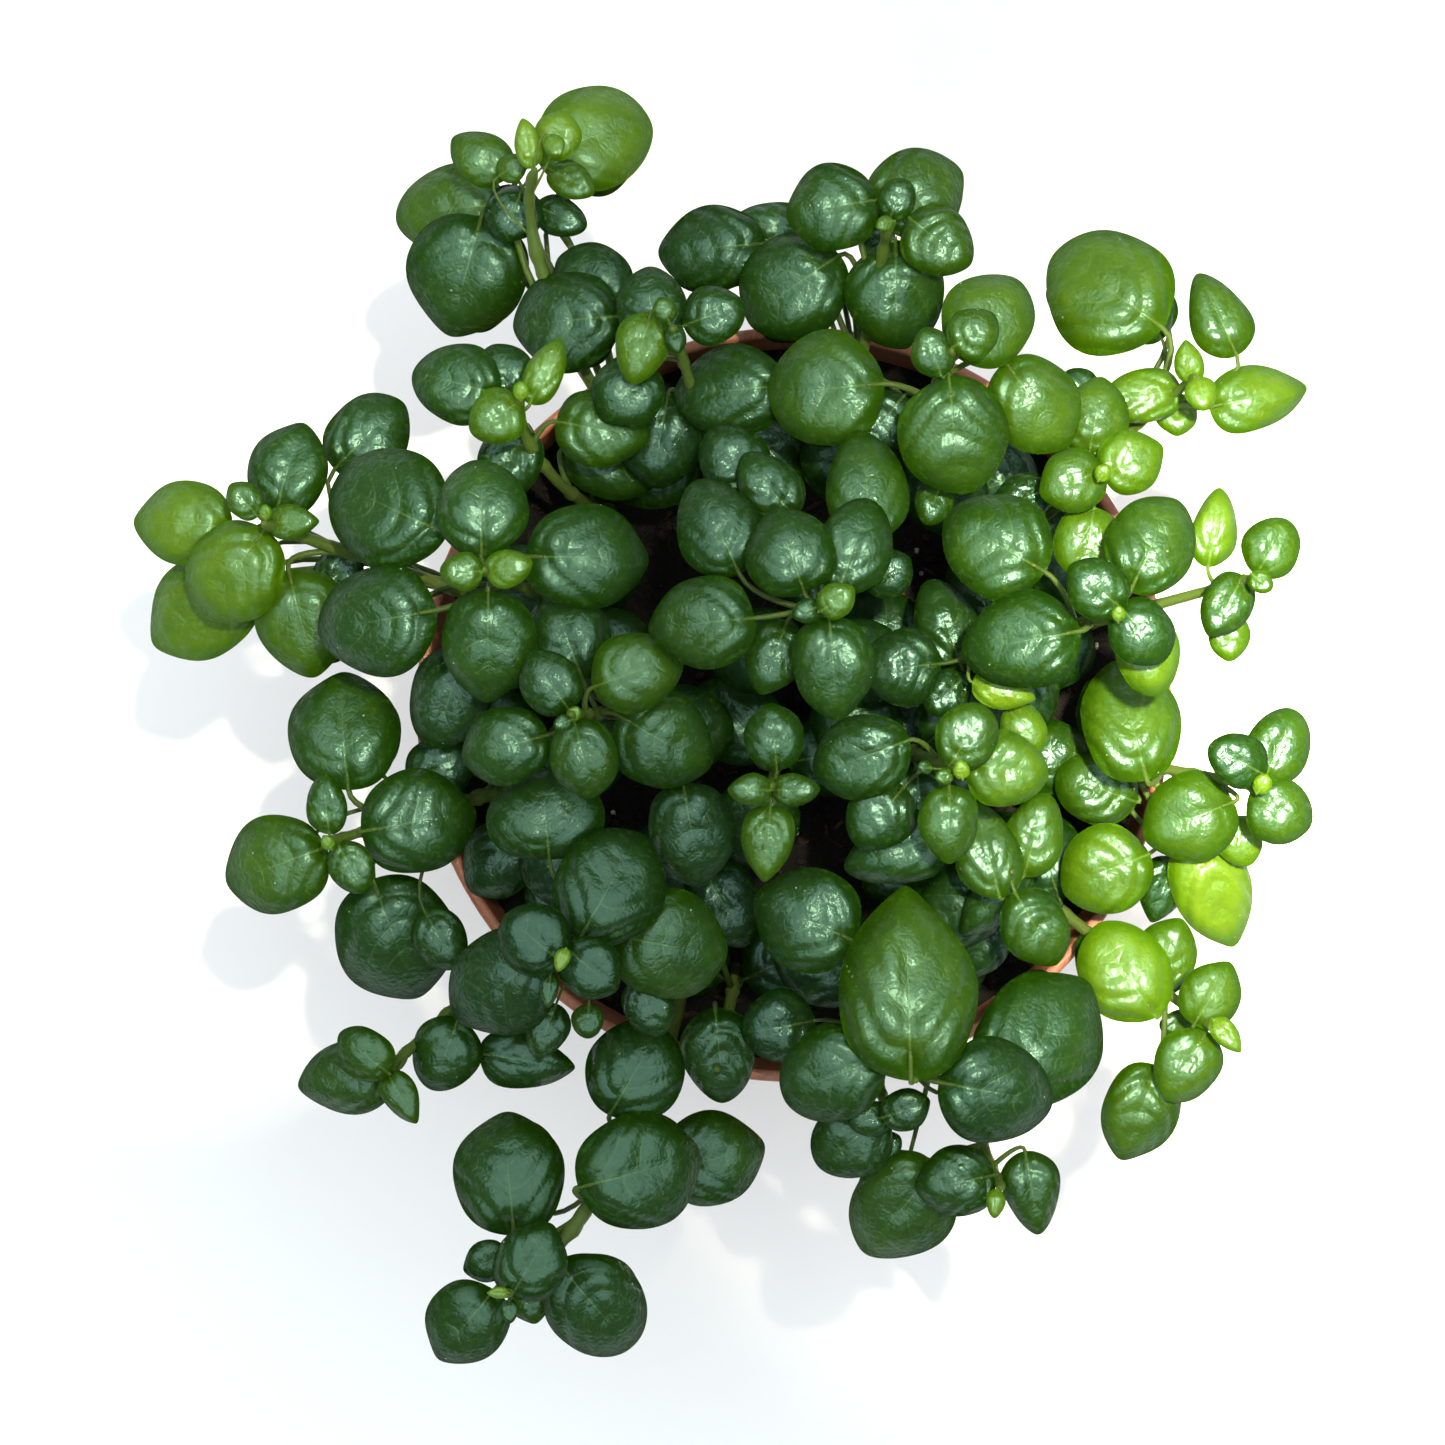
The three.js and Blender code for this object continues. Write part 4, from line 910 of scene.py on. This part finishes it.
def soil_material():
    """Dark damp potting mix, with brown bark and pale grit picked out by tone. Its colours are kept
    very dark, painted shade from the leaves above.
    """
    s = Shader("soil_mix", Specular_IOR_Level=0.25)
    grain = s.noise(0.9, 6, 0.75)
    tone = s.math("ADD", s.value("tone"), s.math("MULTIPLY_ADD", grain, 0.3, -0.15))
    # Partly painted shade: these soil colours are kept very dark for the shade under the leaves.
    soil_and_shade = s.ramp(
        tone,
        (0.0, (0.006, 0.005, 0.004)), (0.3, (0.012, 0.009, 0.007)), (0.6, (0.040, 0.020, 0.012)),
        (0.8, (0.080, 0.042, 0.025)), (0.97, (0.45, 0.42, 0.38)),
    )
    roughness = s.band(grain, 0.3, 0.7, 0.75, 1.0)
    height = s.math("ADD", grain, s.noise(0.3, 2))
    return s.finish(Base_Color=soil_and_shade, Roughness=roughness, Normal=s.bump(height, 0.4))


def speckled_material(name, dark, light, grain_mm, roughness):
    """A dry rough surface whose colour varies between two tones."""
    s = Shader(name, Specular_IOR_Level=0.35)
    grain = s.noise(grain_mm, 5, 0.7)
    color = s.ramp(grain, (0.32, dark), (0.68, light))
    rough = s.math("MULTIPLY_ADD", grain, 0.2, roughness - 0.1)
    return s.finish(Base_Color=color, Roughness=rough, Normal=s.bump(grain, 0.25))


# ---- assembly -------------------------------------------------------------------------------

rng = np.random.default_rng(SEED)
leaf_skin = leaf_material()
stem_skin = stem_material()


def ride_and_replace(piece, slot, *nodes):
    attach(piece, "root")
    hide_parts(*nodes)


def build_shoots():
    shoots = [(tip, shoot_leaves(tip, rows, i)) for i, (tip, rows) in enumerate(SHOOTS)]
    settle([leaf for _, leaves in shoots for leaf in leaves])
    for number, (tip, leaves) in enumerate(shoots, 1):
        leaves = [leaf for leaf in leaves if clears_soil(leaf)]
        path = stem_points(tip, STEM_RINGS)
        nodes = [leaf_node(leaf, path) for leaf in leaves]
        growth = Pile()
        add_stem(growth, tip, nodes)
        blades = Pile()
        for leaf, node in zip(leaves, nodes):
            add_stalk(growth, leaf, path, node)
            add_leaf(blades, leaf, rng)
        ride_and_replace(growth.build(f"stem_{number:02d}", stem_skin), "stems",
                         f"shoot_{number:02d}_stem")
        ride_and_replace(blades.build(f"leaves_{number:02d}", leaf_skin), "leaves",
                         f"shoot_{number:02d}_leaves")


def build_soil_details():
    """A pebble, a chip of bark and a dead leaf on the soil."""
    pebble = Pile()
    add_rough_lump(pebble, 46, -29, (8, 6.5, 4.5), 30)
    stone = speckled_material("pebble_stone", (0.10, 0.08, 0.09), (0.26, 0.22, 0.23), 0.8, 0.8)
    ride_and_replace(pebble.build("pebble_stone", stone), "pebble", "pebble")
    chip = Pile()
    add_rough_lump(chip, 45, 1, (9, 5, 3), 70)
    bark = speckled_material("bark", (0.06, 0.022, 0.014), (0.20, 0.085, 0.05), 0.9, 0.9)
    ride_and_replace(chip.build("bark_piece", bark), "bark", "bark_chip")
    dead = Pile()
    row = [43.5, -40, 13, 7, 305, 0.5]
    leaf = Leaf(row, soil_top(43.5, -40) + 1.2)
    leaf.slope_x = leaf.slope_y = 0
    add_leaf(dead, leaf, rng)
    dry = speckled_material("dry_leaf", (0.26, 0.13, 0.03), (0.52, 0.33, 0.11), 1.6, 0.75)
    ride_and_replace(dead.build("dead_leaf", dry), "dead_leaf", "fallen_leaf")


def add_rough_lump(pile, x, y, size, bearing):
    """A rounded lump with an uneven skin, lying on the soil."""
    rows, columns = 24, 36
    polar = np.linspace(0.02, math.pi - 0.02, rows)
    round_ = np.arange(columns + 1) * 2 * math.pi / columns
    p, q = np.meshgrid(polar, round_, indexing="ij")
    px, py, pz = np.sin(p) * np.cos(q) / 2, np.sin(p) * np.sin(q) / 2, np.cos(p) / 2
    swell = 1 + 0.12 * np.sin(7 * px + 3) + 0.1 * np.sin(6 * py + 5 * pz)
    swell = swell + 0.03 * np.sin(19 * px + 2) * np.sin(17 * py) + 0.02 * np.sin(31 * pz + 23 * px)
    px, py, pz = px * swell * size[0], py * swell * size[1], pz * swell * size[2]
    turn = math.radians(bearing)
    points = np.stack([
        x + px * math.cos(turn) - py * math.sin(turn),
        y + px * math.sin(turn) + py * math.cos(turn),
        soil_top(x, y) + 0.4 * size[2] + pz,
    ], axis=-1).reshape(-1, 3)
    pile.add(points, grid_faces(rows, columns + 1, 0, flip=True))


def build_pot_and_soil():
    ride_and_replace(make_pot(pot_material()), "pot", "pot")
    ride_and_replace(make_soil(soil_material(), rng), "soil", "soil")


def build_stage():
    """A plain pale floor, a wide softbox overhead, and patches of warm sun on the plant."""
    bpy.ops.mesh.primitive_plane_add(size=8, location=(0, 0, 0))
    floor = bpy.context.object
    floor.name = "floor"
    s = Shader("floor_paint", Specular_IOR_Level=0.1)
    tone = s.ramp(s.noise(60, 2), (0.3, (0.93, 0.93, 0.93)), (0.7, (0.95, 0.95, 0.95)))
    floor.data.materials.append(s.finish(Base_Color=tone, Roughness=0.9))

    world = bpy.data.worlds.new("surround")
    bpy.context.scene.world = world
    world.use_nodes = True
    world.node_tree.nodes["Background"].inputs["Color"].default_value = rgb(0.95, 1.0, 1.0)
    world.node_tree.nodes["Background"].inputs["Strength"].default_value = 0.10

    softbox = bpy.data.lights.new("softbox", "SUN")
    softbox.angle = 1.75
    softbox.energy = 3.9
    softbox.color = (0.90, 0.97, 1.0)
    hang_lamp(softbox, (0.0, 0.2, 2.0), PLANT_MIDDLE)
    add_sun_patch("sun_right", (0.112, 0.005, 0.15), 92, 820)
    add_sun_patch("sun_left", (-0.112, 0.022, 0.14), 28, 1100)
    add_sun_patch("sun_top", (-0.040, 0.106, 0.15), 24, 1000)


def add_sun_patch(name, target, radius_mm, energy):
    """A warm lamp high overhead, a little behind and to the right, whose cone lights one round
    patch of the plant."""
    place = Vector(target) + Vector(SUN_OFFSET)
    lamp = bpy.data.lights.new(name, "SPOT")
    lamp.energy = energy
    lamp.color = SUN_COLOR
    lamp.shadow_soft_size = 0.07
    lamp.spot_size = 2 * math.atan(radius_mm * MM / (place - Vector(target)).length)
    lamp.spot_blend = 0.6
    hang_lamp(lamp, place, target)


def hang_lamp(light, place, target):
    """A lamp at a place, aimed at a target, both in metres."""
    lamp = bpy.data.objects.new(light.name, light)
    lamp.location = place
    lamp.rotation_euler = (Vector(target) - Vector(place)).to_track_quat("-Z", "Y").to_euler()
    bpy.context.scene.collection.objects.link(lamp)


def build_camera():
    """Straight overhead, far away with a long lens, framing the leaves as the photograph does."""
    distance = 1.9
    frame_width = 0.2673
    camera = bpy.data.cameras.new("camera")
    camera.sensor_width = 36
    camera.lens = camera.sensor_width * distance / frame_width
    holder = bpy.data.objects.new("camera", camera)
    holder.location = (-0.0134, -0.0034, 0.155 + distance)
    bpy.context.scene.collection.objects.link(holder)
    bpy.context.scene.camera = holder


build_pot_and_soil()
build_shoots()
build_soil_details()
build_stage()
build_camera()
bpy.context.scene.view_settings.view_transform = "Standard"
